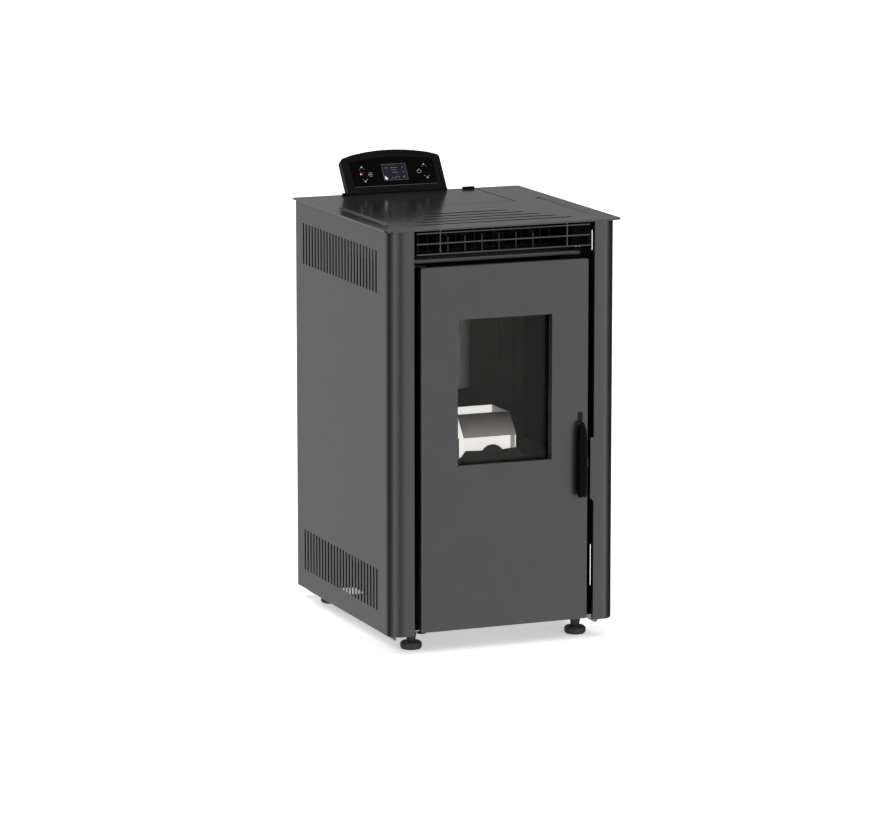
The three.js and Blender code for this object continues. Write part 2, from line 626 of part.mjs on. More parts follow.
function burnPotCradle() {
  const half = FIREBOX_WIDTH / 2 - FIREBOX_WALL - GAP;
  const thick = CRADLE_THICKNESS;
  const shoulder = cradleShelf + 4;
  const ash = rectangle(around(0, POT_WIDTH - 20), [POT_FRONT + 10, POT_FRONT + POT_DEPTH - 10]);
  const plate = rectangle([-half, half], [CRADLE_Y, linerRear]);
  const shelf = prism('z', plate, cradleShelf - thick, cradleShelf, [ash]);
  const crest = arc(4, CRADLE_TOP - 16, 25, 35, 145, 8).reverse();
  const top = [
    [-half, shoulder], [-62, shoulder], [-50, CRADLE_TOP], ...crest,
    [54, CRADLE_TOP], [66, shoulder], [half, shoulder],
  ];
  const outline = [[-half, cradleShelf - 80], [half, cradleShelf - 80], ...top.reverse()];
  const front = prism('y', outline, CRADLE_Y, CRADLE_Y + thick);
  return join(shelf, front);
}

function burnPot() {
  const half = POT_WIDTH / 2;
  const low = POT_TOP - POT_HEIGHT;
  const rear = POT_FRONT + POT_DEPTH;
  const inside = [POT_FRONT + POT_WALL, rear - POT_WALL];
  const cup = cut(
    slab([-half, half], [POT_FRONT, rear], [low, POT_TOP]),
    slab([-half + POT_WALL, half - POT_WALL], inside, [low + 3, POT_TOP + 1]),
  );
  const middle = POT_FRONT + POT_DEPTH / 2;
  const holes = [];
  for (let i = -2; i <= 2; i += 1) {
    for (let j = 0; j < 3; j += 1) {
      holes.push(disc(3.5, [low - 1, low + 4], 6).translate(i * 15, middle + (j - 1) * 18, 0));
    }
    holes.push(prism('x', circle(middle + i * 12, low + 22, 2.5, 6), -half - 1, half + 1));
  }
  holes.push(prism('y', circle(0, IGNITER.z, IGNITER.radius, 16), rear - POT_WALL - 1, rear + 1));
  const apronPath = [
    [POT_FRONT + POT_WALL, POT_TOP], [POT_FRONT - POT_WALL, POT_TOP],
    [POT_FRONT - APRON_REACH, POT_TOP - APRON_DROP],
  ];
  const apron = prism('x', foldedSheet(apronPath, POT_WALL), -half - 2, half + 2);
  const wingZ = [low + 4, low + 40];
  const wing = slab([-half - 7, half + 7], [POT_FRONT, POT_FRONT + POT_WALL], wingZ);
  const cheekY = [POT_FRONT - 22, POT_FRONT + 1];
  const cheeks = [-half - 7, half + 5].map((x) => slab([x, x + POT_WALL], cheekY, wingZ));
  return cut(join(cup, apron, wing, ...cheeks), ...holes);
}

function ashDrawer() {
  const { wall, front, height } = DRAWER;
  const half = DRAWER.width / 2;
  const low = fireFloor + GAP;
  const rear = front + DRAWER.depth;
  const body = cut(
    slab([-half, half], [front, rear], [low, low + height]),
    slab([-half + wall, half - wall], [front + wall, rear - wall], [low + wall, low + height + 1]),
  );
  const y = front - wall;
  const rim = slab([-half - 3, half + 3], [y, front + 0.5], [low, low + height + 5]);
  const pullPath = [[-30, y + 0.5], [-26, y - 5], [26, y - 5], [30, y + 0.5]];
  const pull = prism('z', foldedSheet(pullPath, 2), low + 28, low + 40);
  return join(body, rim, pull);
}

function igniter() {
  const potRear = POT_FRONT + POT_DEPTH;
  const rod = prism('y', circle(0, IGNITER.z, IGNITER.radius, 16), potRear + 1.5, fireboxRear + 40);
  const collar = prism('y', circle(0, IGNITER.z, IGNITER.radius + 6, 6), fireboxRear + GAP, fireboxRear + 10);
  return join(rod, collar);
}

// ---------- fuel feed ----------
// Parts on the auger's axis are built along +Z and then laid on the slope that runs down to the back.
const layOnAuger = (geometry) => {
  geometry.rotateX(THREE.MathUtils.degToRad(-90 - AUGER.slope));
  return geometry.translate(0, AUGER.y, AUGER.z);
};

function frustum(topX, topY, lowX, lowY, [z0, z1]) {
  const box = new THREE.BoxGeometry(1, 1, 1);
  const position = box.attributes.position;
  for (let i = 0; i < position.count; i += 1) {
    const high = position.getZ(i) > 0;
    const x = (high ? topX : lowX)[position.getX(i) > 0 ? 1 : 0];
    const y = (high ? topY : lowY)[position.getY(i) > 0 ? 1 : 0];
    position.setXYZ(i, x, y, high ? z1 : z0);
  }
  return box;
}

function hopper() {
  const half = HOPPER.width / 2;
  const neck = HOPPER.neckWidth / 2;
  const wall = HOPPER.wall;
  const y = [HOPPER.front, HOPPER.rear];
  const lowest = AUGER.z - 130;
  const bin = (inset, z1, z0) => {
    const across = [-half + inset, half - inset];
    const along = [y[0] + inset, y[1] - inset];
    const neckX = [-neck + inset, neck - inset];
    const neckY = [HOPPER.neckY[0] + inset, HOPPER.neckY[1] - inset];
    return join(
      slab(across, along, [HOPPER.knee - 0.01, z1]),
      frustum(across, along, neckX, neckY, [HOPPER.neckTop, HOPPER.knee]),
      slab(neckX, neckY, [z0, HOPPER.neckTop + 0.01]),
    );
  };
  const shell = cut(bin(0, panelTop, lowest), bin(wall, panelTop + 1, lowest - 1));
  const tube = layOnAuger(disc(AUGER.bore + AUGER.wall + GAP, [-80, AUGER.length + 60], 24));
  const below = slab([-half, half], [0, HOPPER.rear + 10], [lowest - 200, lowest]);
  return keepUpper(cut(shell, tube, below));
}

// The auger tube's cut leaves an offcut of the neck below it: the larger body is the hopper.
function keepUpper(geometry) {
  const bodies = toSolid(geometry).decompose();
  const largest = bodies.reduce((best, body) => (body.volume() > best.volume() ? body : best));
  return toGeometry(largest);
}

// Rim inside the hopper's mouth, which the lid's gasket closes on.
function hopperRim() {
  const inset = HOPPER.wall + GAP;
  const outer = rectangle(
    [-HOPPER.width / 2 + inset, HOPPER.width / 2 - inset],
    [HOPPER.front + inset, HOPPER.rear - inset],
  );
  const mouthHalf = LID_WIDTH / 2 - RIM_LAP;
  const mouth = rectangle([-mouthHalf, mouthHalf], [LID_FRONT + RIM_LAP, LID_REAR - RIM_LAP]);
  return prism('z', outer, LEDGE_TOP - HOPPER.wall, LEDGE_TOP, [mouth]);
}

function hopperGrate() {
  const inset = HOPPER.wall + GAP;
  const x = [-HOPPER.width / 2 + inset, HOPPER.width / 2 - inset];
  const y = [HOPPER.front + inset, HOPPER.rear - inset];
  const holes = [];
  const grid = { columns: 7, rows: 3, bar: 7 };
  const width = (x[1] - x[0] - grid.bar) / grid.columns;
  const depth = (y[1] - y[0] - grid.bar) / grid.rows;
  for (let i = 0; i < grid.columns; i += 1) {
    for (let j = 0; j < grid.rows; j += 1) {
      const x0 = x[0] + grid.bar + i * width;
      const y0 = y[0] + grid.bar + j * depth;
      holes.push(rectangle([x0, x0 + width - grid.bar], [y0, y0 + depth - grid.bar]));
    }
  }
  return prism('z', rectangle(x, y), HOPPER.knee + GAP, HOPPER.knee + GAP + 2, holes);
}

function augerTube() {
  const outer = AUGER.bore + AUGER.wall;
  const tube = layOnAuger(ring(outer, AUGER.bore, [-40, AUGER.length], 24));
  const beyondWall = slab([-50, 50], [fireboxRear - 100, fireboxRear + GAP], around(AUGER.z, 200));
  const neck = HOPPER.neckWidth / 2 - HOPPER.wall;
  const inletY = [HOPPER.neckY[0] + 4, HOPPER.neckY[1] - 4];
  const inlet = slab([-neck + 2, neck - 2], inletY, [AUGER.z - 95, AUGER.z + 40]);
  const flange = layOnAuger(ring(outer + 8, outer - 1, [AUGER.length - 3, AUGER.length], 24));
  return cut(join(cut(tube, inletAboveAxis(inlet)), flange), beyondWall);
}

// Only the part of the inlet above the auger's axis is cut, so the tube's trough stays whole.
function inletAboveAxis(inlet) {
  const under = layOnAuger(slab([-100, 100], [0, 200], [-200, 400]));
  return cut(inlet, under);
}

function augerScrew() {
  const tooth = 26;
  const start = 22;
  const end = AUGER.length - 2;
  const root = arc(0, 0, AUGER.core, tooth, 360 - tooth, 7);
  const tip = arc(0, 0, AUGER.flight, -tooth / 2, tooth / 2, 1);
  const shape = new THREE.Shape([...root, ...tip].map(([x, y]) => new THREE.Vector2(x, y)));
  const steps = Math.round(((end - start) / AUGER.pitch) * 10);
  const screw = new THREE.ExtrudeGeometry(shape, { depth: end - start, bevelEnabled: false, steps });
  const position = screw.attributes.position;
  for (let i = 0; i < position.count; i += 1) {
    const turn = (position.getZ(i) / AUGER.pitch) * 2 * Math.PI;
    const [x, y] = [position.getX(i), position.getY(i)];
    position.setX(i, x * Math.cos(turn) - y * Math.sin(turn));
    position.setY(i, x * Math.sin(turn) + y * Math.cos(turn));
  }
  screw.translate(0, 0, start);
  const shaft = disc(AUGER.core - 1, [end - 1, AUGER.length + AUGER_SHAFT], 12);
  return layOnAuger(join(screw, shaft));
}

function augerGearmotor() {
  const start = AUGER.length + GAP;
  const gearbox = slab([-34, 34], [-30, 30], [start, start + 26]);
  const motor = disc(24, [start + 25, start + 58], 24);
  const stack = slab([-22, 22], [-27, 27], [start + 30, start + 46]);
  const bore = disc(AUGER.core - 1 + GAP, [start - 1, start + AUGER_SHAFT], 12);
  return layOnAuger(cut(join(gearbox, motor, stack), bore));
}

// ---------- fans ----------
// Fan housings are scrolls in the (y, z) plane with a square outlet.
function exhaustBlower() {
  const outline = (inset, extra) => [
    [FLUE.front + extra, BLOWER.z - 80 + inset],
    ...arc(BLOWER.y, BLOWER.z - BLOWER.radius / 4, BLOWER.radius + 2 - inset, 262, 55, 14),
    [BLOWER.y + 54 - inset, BLOWER.z + 4 - inset], [FLUE.front + extra, BLOWER.z - inset],
  ];
  const x = [FLUE.x - 32, FLUE.x + 32];
  const shell = prism('x', outline(0, 0), ...x);
  const cavity = prism('x', outline(2, 5), x[0] + 2, x[1] - 2);
  const inlet = prism('x', circle(BLOWER.y, BLOWER.z, 30, 20), x[0] - 1, x[0] + 3);
  const shaftHole = prism('x', circle(BLOWER.y, BLOWER.z, 6, 16), x[1] - 3, x[1] + 1);
  const feetY = [BLOWER.y + 24, BLOWER.y + 28];
  const feet = slab(around(FLUE.x, 48), feetY, [baseTop + GAP, BLOWER.z - 78]);
  return cut(join(shell, feet), cavity, inlet, shaftHole);
}

function bladedWheel({ radius, hub, bore, x, backplates, blades, bladeInner }) {
  const parts = backplates.map(([a, b]) => prism('x', circle(0, 0, radius, 24), a, b));
  parts.push(prism('x', circle(0, 0, hub, 12), ...x));
  for (let i = 0; i < blades; i += 1) {
    const blade = slab(x, [bladeInner, radius - 1], [-0.9, 0.9]);
    parts.push(blade.rotateX((i * 2 * Math.PI) / blades));
  }
  return cut(join(...parts), prism('x', circle(0, 0, bore, 12), x[0] - 5, x[1] + 5));
}

function exhaustImpeller() {
  const x = [FLUE.x - 22, FLUE.x + 24];
  const wheel = bladedWheel({
    radius: 42, hub: 11, bore: 4.5, x, backplates: [[x[1] - 2, x[1]]], blades: 10, bladeInner: 9,
  });
  return wheel.translate(0, BLOWER.y, BLOWER.z);
}

function fanMotor(start, end, radius, shaft) {
  const body = prism('x', circle(0, 0, radius, 24), start, end);
  const boss = prism('x', circle(0, 0, radius * 0.45, 16), Math.min(end, shaft), Math.max(end, shaft));
  return join(body, boss);
}

function exhaustMotor() {
  const start = FLUE.x + 32 + GAP;
  const body = fanMotor(start + 8, start + 52, 36, start + 68);
  const flange = prism('x', circle(0, 0, 30, 24), start, start + 9);
  const shaft = prism('x', circle(0, 0, 4, 12), FLUE.x - 18, start + 1);
  return join(body, flange, shaft).translate(0, BLOWER.y, BLOWER.z);
}

function exhaustDuct() {
  const x = [-1, FLUE.x - 32 - GAP];
  const y = [fireboxRear + GAP, BLOWER.y + 38];
  const z = [BLOWER.z - 36, 241];
  const box = slab(x, y, z);
  const cavity = slab([x[0] + 1.5, x[1] - 1.5], [y[0] + 1.5, y[1] - 1.5], [z[0] + 1.5, z[1] - 1.5]);
  const mouth = slab([2, 58], [y[0] - 1, y[0] + 2], [fireFloor + 4, 236]);
  const port = prism('x', circle(BLOWER.y, BLOWER.z, 30, 20), x[1] - 2, x[1] + 1);
  return cut(box, cavity, mouth, port);
}

function flueSpigot() {
  const length = FLUE.rear - FLUE.front;
  const pipe = ring(FLUE.radius, FLUE.radius - FLUE.wall, [0, length - 2 * GAP], 24);
  const flange = ring(FLUE.radius + 6, FLUE.radius - 1, [0, 2], 24);
  const bead = ring(FLUE.radius + 1.4, FLUE.radius - 0.5, [length - 22, length - 18], 24);
  return join(pipe, flange, bead).rotateX(-Math.PI / 2).translate(FLUE.x, FLUE.front + 2 * GAP, FLUE.z);
}

function intakePipe() {
  const path = new THREE.CatmullRomCurve3([
    new THREE.Vector3(INTAKE.x, INTAKE.rear, INTAKE.z),
    new THREE.Vector3(INTAKE.x, 400, INTAKE.z),
    new THREE.Vector3(INTAKE.x, 325, INTAKE.z + 12),
    new THREE.Vector3(INTAKE.x, 282, INTAKE.z + 70),
    new THREE.Vector3(INTAKE.x, 268, INTAKE_PORT_Z - 45),
    new THREE.Vector3(INTAKE.x, 250, INTAKE_PORT_Z - 6),
    new THREE.Vector3(INTAKE.x, fireboxRear - 8, INTAKE_PORT_Z),
  ]);
  const along = (radius, steps) => {
    const shape = new THREE.Shape(circle(0, 0, radius, 12).map(([x, y]) => new THREE.Vector2(x, y)));
    return new THREE.ExtrudeGeometry(shape, { extrudePath: path, steps, bevelEnabled: false });
  };
  const wallY = [fireboxRear - 60, fireboxRear + GAP];
  const insideWall = slab(around(INTAKE.x, 80), wallY, around(INTAKE_PORT_Z, 120));
  const bore = circle(INTAKE.x, INTAKE.z, INTAKE.radius - INTAKE.wall, 16);
  const mouth = prism('y', bore, INTAKE.rear - 12, INTAKE.rear + 10);
  return cut(along(INTAKE.radius, 9), along(INTAKE.radius - INTAKE.wall, 9), insideWall, mouth);
}

function roomFanHousing() {
  const { y, z, radius } = ROOM_FAN;
  const outline = (inset, extra) => [
    ...arc(y, z, radius + 9 - inset, 180, 360, 14),
    [y + radius + 9 - inset, z + 54 + extra], [y + 2 + inset, z + 54 + extra],
    ...arc(y, z, radius + 6 - inset, 96, 160, 5),
  ];
  const shell = prism('x', outline(0, 0), ...ROOM_FAN.x);
  const cavity = prism('x', outline(1.5, 5), ROOM_FAN.x[0] + 1.5, ROOM_FAN.x[1] - 1.5);
  const inlets = prism('x', circle(y, z, radius - 8, 20), ROOM_FAN.x[0] + 10, ROOM_FAN.x[1] + 5);
  const shaftHole = prism('x', circle(y, z, 6, 16), ROOM_FAN.x[0] - 1, ROOM_FAN.x[0] + 3);
  const footX = [ROOM_FAN.x[0] + 30, ROOM_FAN.x[1] - 10];
  const foot = slab(footX, around(y, 4), [baseTop + GAP, z - radius - 7.6]);
  return cut(join(shell, foot), cavity, inlets, shaftHole);
}

function roomFanWheel() {
  const x = [ROOM_FAN.x[0] + 6, ROOM_FAN.x[1] - 6];
  const wheel = cut(
    join(
      prism('x', circle(0, 0, ROOM_FAN.radius, 24), x[0], x[0] + 2),
      prism('x', circle(0, 0, 9, 12), x[0], x[0] + 30),
      ...wheelBlades(x),
      prism('x', circle(0, 0, ROOM_FAN.radius, 24), x[1] - 2, x[1], [circle(0, 0, ROOM_FAN.radius - 8, 24)]),
    ),
    prism('x', circle(0, 0, 4.5, 12), x[0] - 1, x[0] + 31),
  );
  return wheel.translate(0, ROOM_FAN.y, ROOM_FAN.z);
}

function wheelBlades(x) {
  const blades = [];
  for (let i = 0; i < ROOM_FAN.blades; i += 1) {
    const blade = slab([x[0] + 1, x[1] - 1], [ROOM_FAN.radius - 8.5, ROOM_FAN.radius - 0.6], [-0.7, 0.7]);
    blades.push(blade.rotateX((i * 2 * Math.PI) / ROOM_FAN.blades));
  }
  return blades;
}

function roomFanMotor() {
  const start = ROOM_FAN.x[0] - GAP;
  const body = prism('x', circle(0, 0, 32, 24), start - 38, start);
  const shaft = prism('x', circle(0, 0, 4, 12), start - 1, ROOM_FAN.x[0] + 34);
  return join(body, shaft).translate(0, ROOM_FAN.y, ROOM_FAN.z);
}

// ---------- electrics ----------
function controlBoard() {
  const { y, z, standoff, thickness, post } = CONTROL_BOARD;
  const face = innerHalf - standoff;
  const plate = slab([face, face + thickness], y, z);
  const posts = [z[0] + post, z[1] - post].flatMap((postZ) => [y[0] + post, y[1] - post].map((postY) => {
    return prism('x', circle(postY, postZ, 3, 8), face + 1, innerHalf - GAP);
  }));
  // How far each component stands off the board, and its place from the board's lower front corner.
  const components = [
    { height: 24, y: [12, 50], z: [20, 56] },
    { height: 14, y: [60, 82], z: [20, 70] },
    { height: 12, y: [6, 112], z: [108, 124] },
    { height: 16, y: [90, 108], z: [40, 90] },
  ].map((part) => {
    const from = (corner, range) => range.map((value) => corner + value);
    return slab([face - part.height, face + 0.5], from(y[0], part.y), from(z[0], part.z));
  });
  return join(plate, ...posts, ...components);
}

function mainsInlet() {
  const rear = REAR_COVER_Y + SHEET + GAP;
  const { x, z, width, height, lip, depth } = INLET;
  const bezel = slab(around(x, width + 2 * lip), [rear, rear + 2.5], around(z, height + 2 * lip));
  const body = slab(around(x, width), [rear - depth, rear + 1], around(z, height));
  const [left, right] = [x - 23, x - 1];
  const [low, high] = around(z, 30);
  const socket = prism('y', [
    [left, low], [right - 4, low], [right, low + 4], [right, high - 4], [right - 4, high], [left, high],
  ], rear - 16, rear + 4);
  const rocker = slab(around(SWITCH.x, 19), [rear - 14, rear + 4], around(SWITCH.z, 29));
  const blades = [[-14, 8], [-14, -8], [-8, 0]].map(([across, up]) => {
    return slab(around(x + across, 5), [rear - 17, rear - 4], around(z + up, 2));
  });
  return join(cut(join(bezel, body), socket, rocker), ...blades);
}

function powerSwitch() {
  const rear = REAR_COVER_Y + SHEET + GAP;
  const profile = [
    [rear - 6, SWITCH.z - 11], [rear + 1, SWITCH.z - 12.5], [rear + 4.6, SWITCH.z - 12],
    [rear + 2.6, SWITCH.z], [rear + 3.2, SWITCH.z + 12], [rear + 1, SWITCH.z + 12.5], [rear - 6, SWITCH.z + 11],
  ];
  const axle = prism('x', circle(rear - 3, SWITCH.z, 2, 10), SWITCH.x - 9.2, SWITCH.x + 9.2);
  return join(prism('x', profile, SWITCH.x - 8.4, SWITCH.x + 8.4), axle);
}

function thermostatCap() {
  const rear = REAR_COVER_Y + SHEET + GAP;
  const { x, z } = THERMOSTAT;
  const cap = prism('y', circle(x, z, THERMOSTAT.cap, 12), rear, rear + 9);
  const body = prism('y', circle(x, z, THERMOSTAT.radius, 16), rear - 24, rear + 1);
  return join(cap, body);
}

// ---------- control console ----------
// Built upright with its foot at Z = 0, then leaned back onto the rear of the top plate.
function consoleOutline(inset) {
  const half = CONSOLE.width / 2 - inset;
  const side = CONSOLE.side - inset;
  const { corner, rise } = CONSOLE;
  const crown = [];
  for (let i = 1; i < 12; i += 1) {
    const x = (half - corner) * (1 - i / 6);
    crown.push([x, side + rise * (1 - (x / half) ** 2)]);
  }
  return [
    [-half, inset], [half, inset], ...arc(half - corner, side - corner, corner, 0, 72, 4), ...crown,
    ...arc(-half + corner, side - corner, corner, 108, 180, 4),
  ];
}

const leanConsole = (geometry) => {
  geometry.rotateX(THREE.MathUtils.degToRad(-CONSOLE.lean));
  return geometry.translate(CONSOLE.x, CONSOLE.y, BODY_HEIGHT + GAP);
};

function consoleHousing() {
  const shell = prism('y', consoleOutline(0), 0, CONSOLE.depth);
  const recess = prism('y', consoleOutline(CONSOLE.rim), -1, FASCIA_DEPTH);
  const housing = leanConsole(cut(shell, recess));
  const { x, y, width, footDepth, footDrop, footRise } = CONSOLE;
  const foot = slab(around(x, width), [y, y + footDepth], [BODY_HEIGHT - footDrop, BODY_HEIGHT + footRise]);
  const plateZ = [BODY_HEIGHT - 100, BODY_HEIGHT + GAP];
  const plateSpace = slab(around(0, 2 * CABINET_WIDTH), [LID_REAR - 100, PLATE_REAR + GAP], plateZ);
  return cut(join(housing, foot), plateSpace);
}

function consoleFascia() {
  const plate = prism('y', consoleOutline(CONSOLE.rim + GAP), FASCIA_FACE, FASCIA_DEPTH - GAP);
  const { x, z, width, height } = DISPLAY;
  const window = slab(around(x, width + 2 * GAP), [0, 2], around(z, height + 2 * GAP));
  return leanConsole(cut(plate, window));
}

function consoleDisplay() {
  const { x, z, width, height } = DISPLAY;
  return leanConsole(slab(around(x, width), [FASCIA_FACE + GAP, FASCIA_DEPTH - GAP], around(z, height)));
}

// ---------- hopper lid ----------
function hopperLid() {
  const half = LID_WIDTH / 2;
  const sheet = slab([-half, half], [LID_FRONT, LID_REAR], [plateLow, BODY_HEIGHT]);
  const { length, width, front, depth } = LID_FINGER_SLOT;
  const y = LID_FRONT + front;
  const slot = roundedRectangle([-length / 2, length / 2], [y, y + width], width / 2 - 0.1, 3);
  const pocket = prism('z', slot, BODY_HEIGHT - depth, BODY_HEIGHT + 1);
  return join(cut(sheet, pocket), ...lidKnuckles(LID_HINGE_X, [LID_REAR - 1.4, lidHingeY]));
}

function lidGasket() {
  const half = LID_WIDTH / 2 - 1;
  const outer = roundedRectangle([-half, half], [LID_FRONT + 1, LID_REAR - 1], 6, 2);
  const inner = roundedRectangle([-half + 7, half - 7], [LID_FRONT + 8, LID_REAR - 8], 4, 2);
  return prism('z', outer, LEDGE_TOP + GAP, plateLow - GAP, [inner]);
}

// ---------- fire door ----------
function doorPanel() {
  const outline = roundedRectangle([-doorHalf, doorHalf], [DOOR_BOTTOM, doorTop], DOOR_CORNER, 2);
  const innerHalfWidth = doorHalf - DOOR_SKIN;
  const inner = rectangle([-innerHalfWidth, innerHalfWidth], [DOOR_BOTTOM + DOOR_SKIN, doorTop - DOOR_SKIN]);
  const windowHole = rectangle(around(0, WINDOW_WIDTH), [windowLow, windowHigh]);
  const skin = prism('y', outline, DOOR_FRONT, DOOR_FRONT + DOOR_SKIN, [windowHole]);
  const edge = prism('y', outline, DOOR_FRONT + DOOR_SKIN / 2, DOOR_FRONT + DOOR_RETURN, [inner]);
  const catchSlot = slab(around(doorHalf, 10), [CATCH.y - 5, CATCH.y + 9], around(CATCH.z, 28));
  const pinHole = disc(pinBore, [0, BODY_HEIGHT], 16).translate(hingeX, HINGE_Y, 0);
  return cut(join(skin, edge), catchSlot, pinHole);
}

function doorFrame() {
  const half = frameHalf;
  const front = DOOR_FRONT + DOOR_SKIN + GAP;
  const pocket = WINDOW_WIDTH / 2 + GLASS_LAP + GAP;
  const pocketZ = [windowLow - GLASS_LAP - GAP, windowHigh + GLASS_LAP + GAP];
  const outline = rectangle([-half, half], [frameLow, frameHigh]);
  const windowHole = rectangle(around(0, WINDOW_WIDTH + 2), [windowLow - 1, windowHigh + 1]);
  const face = prism('y', outline, front, glassFront - GAP, [windowHole]);
  const inside = [frameLow + FRAME_RIM, frameHigh - FRAME_RIM];
  const hollow = rectangle([-half + FRAME_RIM, half - FRAME_RIM], inside);
  const rim = prism('y', outline, glassFront - 1, sealFront, [hollow]);
  const bead = 5;
  const beadOutline = rectangle([-pocket - bead, pocket + bead], [pocketZ[0] - bead, pocketZ[1] + bead]);
  const glassPocket = rectangle([-pocket, pocket], pocketZ);
  const glassBead = prism('y', beadOutline, glassFront - 1, glassFront + 8, [glassPocket]);
  const inset = DOOR_SKIN + GAP;
  const barZ = [DOOR_BOTTOM + inset, doorTop - inset];
  const bar = slab([-doorHalf + inset, -half + 2], [front, HINGE_Y + 6], barZ);
  const boreRanges = [[0, DOOR_BOTTOM + HINGE_PIN_LENGTH + 2], [doorTop - HINGE_PIN_LENGTH - 2, BODY_HEIGHT]];
  const bores = boreRanges.map((range) => disc(pinBore, range, 16).translate(hingeX, HINGE_Y, 0));
  return cut(join(face, rim, glassBead, bar), ...bores);
}

function hingePin(low) {
  const length = HINGE_PIN_LENGTH + BRACKET_THICKNESS;
  const high = low + length;
  const tip = HINGE_PIN_RADIUS - 0.6;
  return revolve([
    [0, low], [tip, low], [HINGE_PIN_RADIUS, low + 0.6], [HINGE_PIN_RADIUS, high - 0.6], [tip, high], [0, high],
  ], 12).translate(hingeX, HINGE_Y, 0);
}

function doorGlass() {
  const half = WINDOW_WIDTH / 2 + GLASS_LAP;
  const z = [windowLow - GLASS_LAP, windowHigh + GLASS_LAP];
  return slab([-half, half], [glassFront, glassFront + GLASS_THICKNESS], z);
}

function glassRetainer() {
  const half = WINDOW_WIDTH / 2 + GLASS_LAP;
  const z = [windowLow - GLASS_LAP, windowHigh + GLASS_LAP];
  const inside = half - RETAINER_STRIP;
  const insideZ = [z[0] + RETAINER_STRIP, z[1] - RETAINER_STRIP];
  const inner = roundedRectangle([-inside, inside], insideZ, 5, 2);
  const y = glassFront + GLASS_THICKNESS + GAP;
  return prism('y', rectangle([-half, half], z), y, y + 2, [inner]);
}

function doorSeal() {
  const x = FIRE_OPENING.width / 2 + SEAL_INSET;
  const z = [fireFloor - SEAL_INSET, FIRE_OPENING.high + SEAL_INSET];
  const y = FIREBOX_FRONT - GAP - SEAL_RADIUS;
  const ringAt = (grow) => {
    return roundedRectangle([-x - grow, x + grow], [z[0] - grow, z[1] + grow], SEAL_BEND + grow, 4);
  };
  return prism('y', ringAt(SEAL_RADIUS), y - SEAL_RADIUS, y + SEAL_RADIUS, [ringAt(-SEAL_RADIUS)]);
}

function doorCatch() {
  const skin = DOOR_FRONT + DOOR_SKIN + GAP;
  const bodyX = [frameHalf + 1, doorHalf - DOOR_SKIN - GAP - 0.2];
  const body = slab(bodyX, [skin, CATCH.y + 8], around(CATCH.z, 44));
  const arm = slab([doorHalf - 8, doorHalf + 1], around(CATCH.y, 4), around(CATCH.z, 22));
  const roller = disc(CATCH.roller, around(CATCH.z, 18), 16).translate(doorHalf + 1, CATCH.y, 0);
  return join(body, arm, roller);
}

function handleMount() {
  const y = [DOOR_FRONT - GAP - 3, DOOR_FRONT - GAP];
  const stemX = handleX + 1;
  const plate = slab([stemX - 3.4, stemX + 3.4], y, [HANDLE.high - 22, HANDLE.high + HANDLE.stem]);
  const ear = prism('x', [
    [DOOR_FRONT - GAP - 1, HANDLE.high - 14], [DOOR_FRONT - GAP - 1, HANDLE.high + 1],
    ...arc(handlePivotY, handlePivotZ, 4.2, 60, 240, 8), [handlePivotY, HANDLE.high - 14],
  ], handleX - 2.5, handleX + 2.5);
  const bore = prism('x', circle(handlePivotY, handlePivotZ, handleBore, 16), handleX - 10, handleX + 10);
  return cut(join(plate, ear), bore);
}

function handlePin() {
  const reach = HANDLE.width / 2 - 0.4;
  return prism('x', circle(handlePivotY, handlePivotZ, HANDLE.pin, 16), handleX - reach, handleX + reach);
}

function doorHandle() {
  const half = HANDLE.width / 2;
  const { low, high } = HANDLE;
  const back = DOOR_FRONT - GAP - 0.3;
  const front = handleFront;
  const side = prism('x', [
    [back, low + 16], ...arc(handlePivotY, handlePivotZ, back - handlePivotY, 0, 90, 5),
    [front + 6, high - 1], [front + 1.5, high - 8], [front, high - 18],
    [front, low + 8], [front + 3, low + 1], [front + 8, low],
  ], handleX - half, handleX + half);
  const leaf = prism('y', [
    [handleX - half, low], [handleX + half, low - 6], [handleX + half, high - 34],
    [handleX + half - 1.5, high - 16], [handleX + 3, high - 3], [handleX, high + 2],
    [handleX - 3.4, high - 3], [handleX - half + 0.6, high - 22], [handleX - half, high - 60],
  ], front - 5, back + 5);
  const hollow = slab(around(handleX, 9.4), [handlePivotY - 7, back + 5], [low + 14, high + 5]);
  const boreX = around(handleX, 2 * HANDLE.width);
  const bore = prism('x', circle(handlePivotY, handlePivotZ, handleBore, 16), ...boreX);
  return cut(toGeometry(toSolid(side).intersect(toSolid(leaf))), hollow, bore);
}

// ---------- assembly ----------
place(assembly, 'base_plate', basePlate(), galvanised());
place(assembly, 'right_side_panel', sidePanel(), powderCoat());
place(assembly, 'left_side_panel', mirrorX(sidePanel()), powderCoat());
place(assembly, 'rear_cover', rearCover(), powderCoat());
place(assembly, 'top_plate', topPlate(), powderCoat());
place(assembly, 'right_front_column', join(frontColumn(), keeperTab()), powderCoat());
place(assembly, 'left_front_column', mirrorX(frontColumn()), powderCoat());
place(assembly, 'front_frame', frontFrame(), blackCoat());
place(assembly, 'warm_air_duct', warmAirDuct(), blackCoat());
place(assembly, 'heat_exchanger', heatExchanger(), galvanised());
place(assembly, 'air_outlet_grille', outletGrille(), powderCoat());
place(assembly, 'lower_hinge_bracket', hingeBracket(baseTop + GAP, 38, 1), blackCoat());
place(assembly, 'upper_hinge_bracket', upperHingeBracket(), blackCoat());

place(assembly, 'firebox_stand', fireboxStand(), galvanised());
place(assembly, 'firebox_shell', fireboxShell(), blackCoat());
place(assembly, 'firebox_liner', fireboxLiner(), castIron());
place(assembly, 'pellet_chute', pelletChute(), blackCoat());
place(assembly, 'burn_pot_cradle', burnPotCradle(), castIron());
place(assembly, 'burn_pot', burnPot(), bareSteel());
place(assembly, 'ash_drawer', ashDrawer(), galvanised());
place(assembly, 'igniter', igniter(), bareSteel());

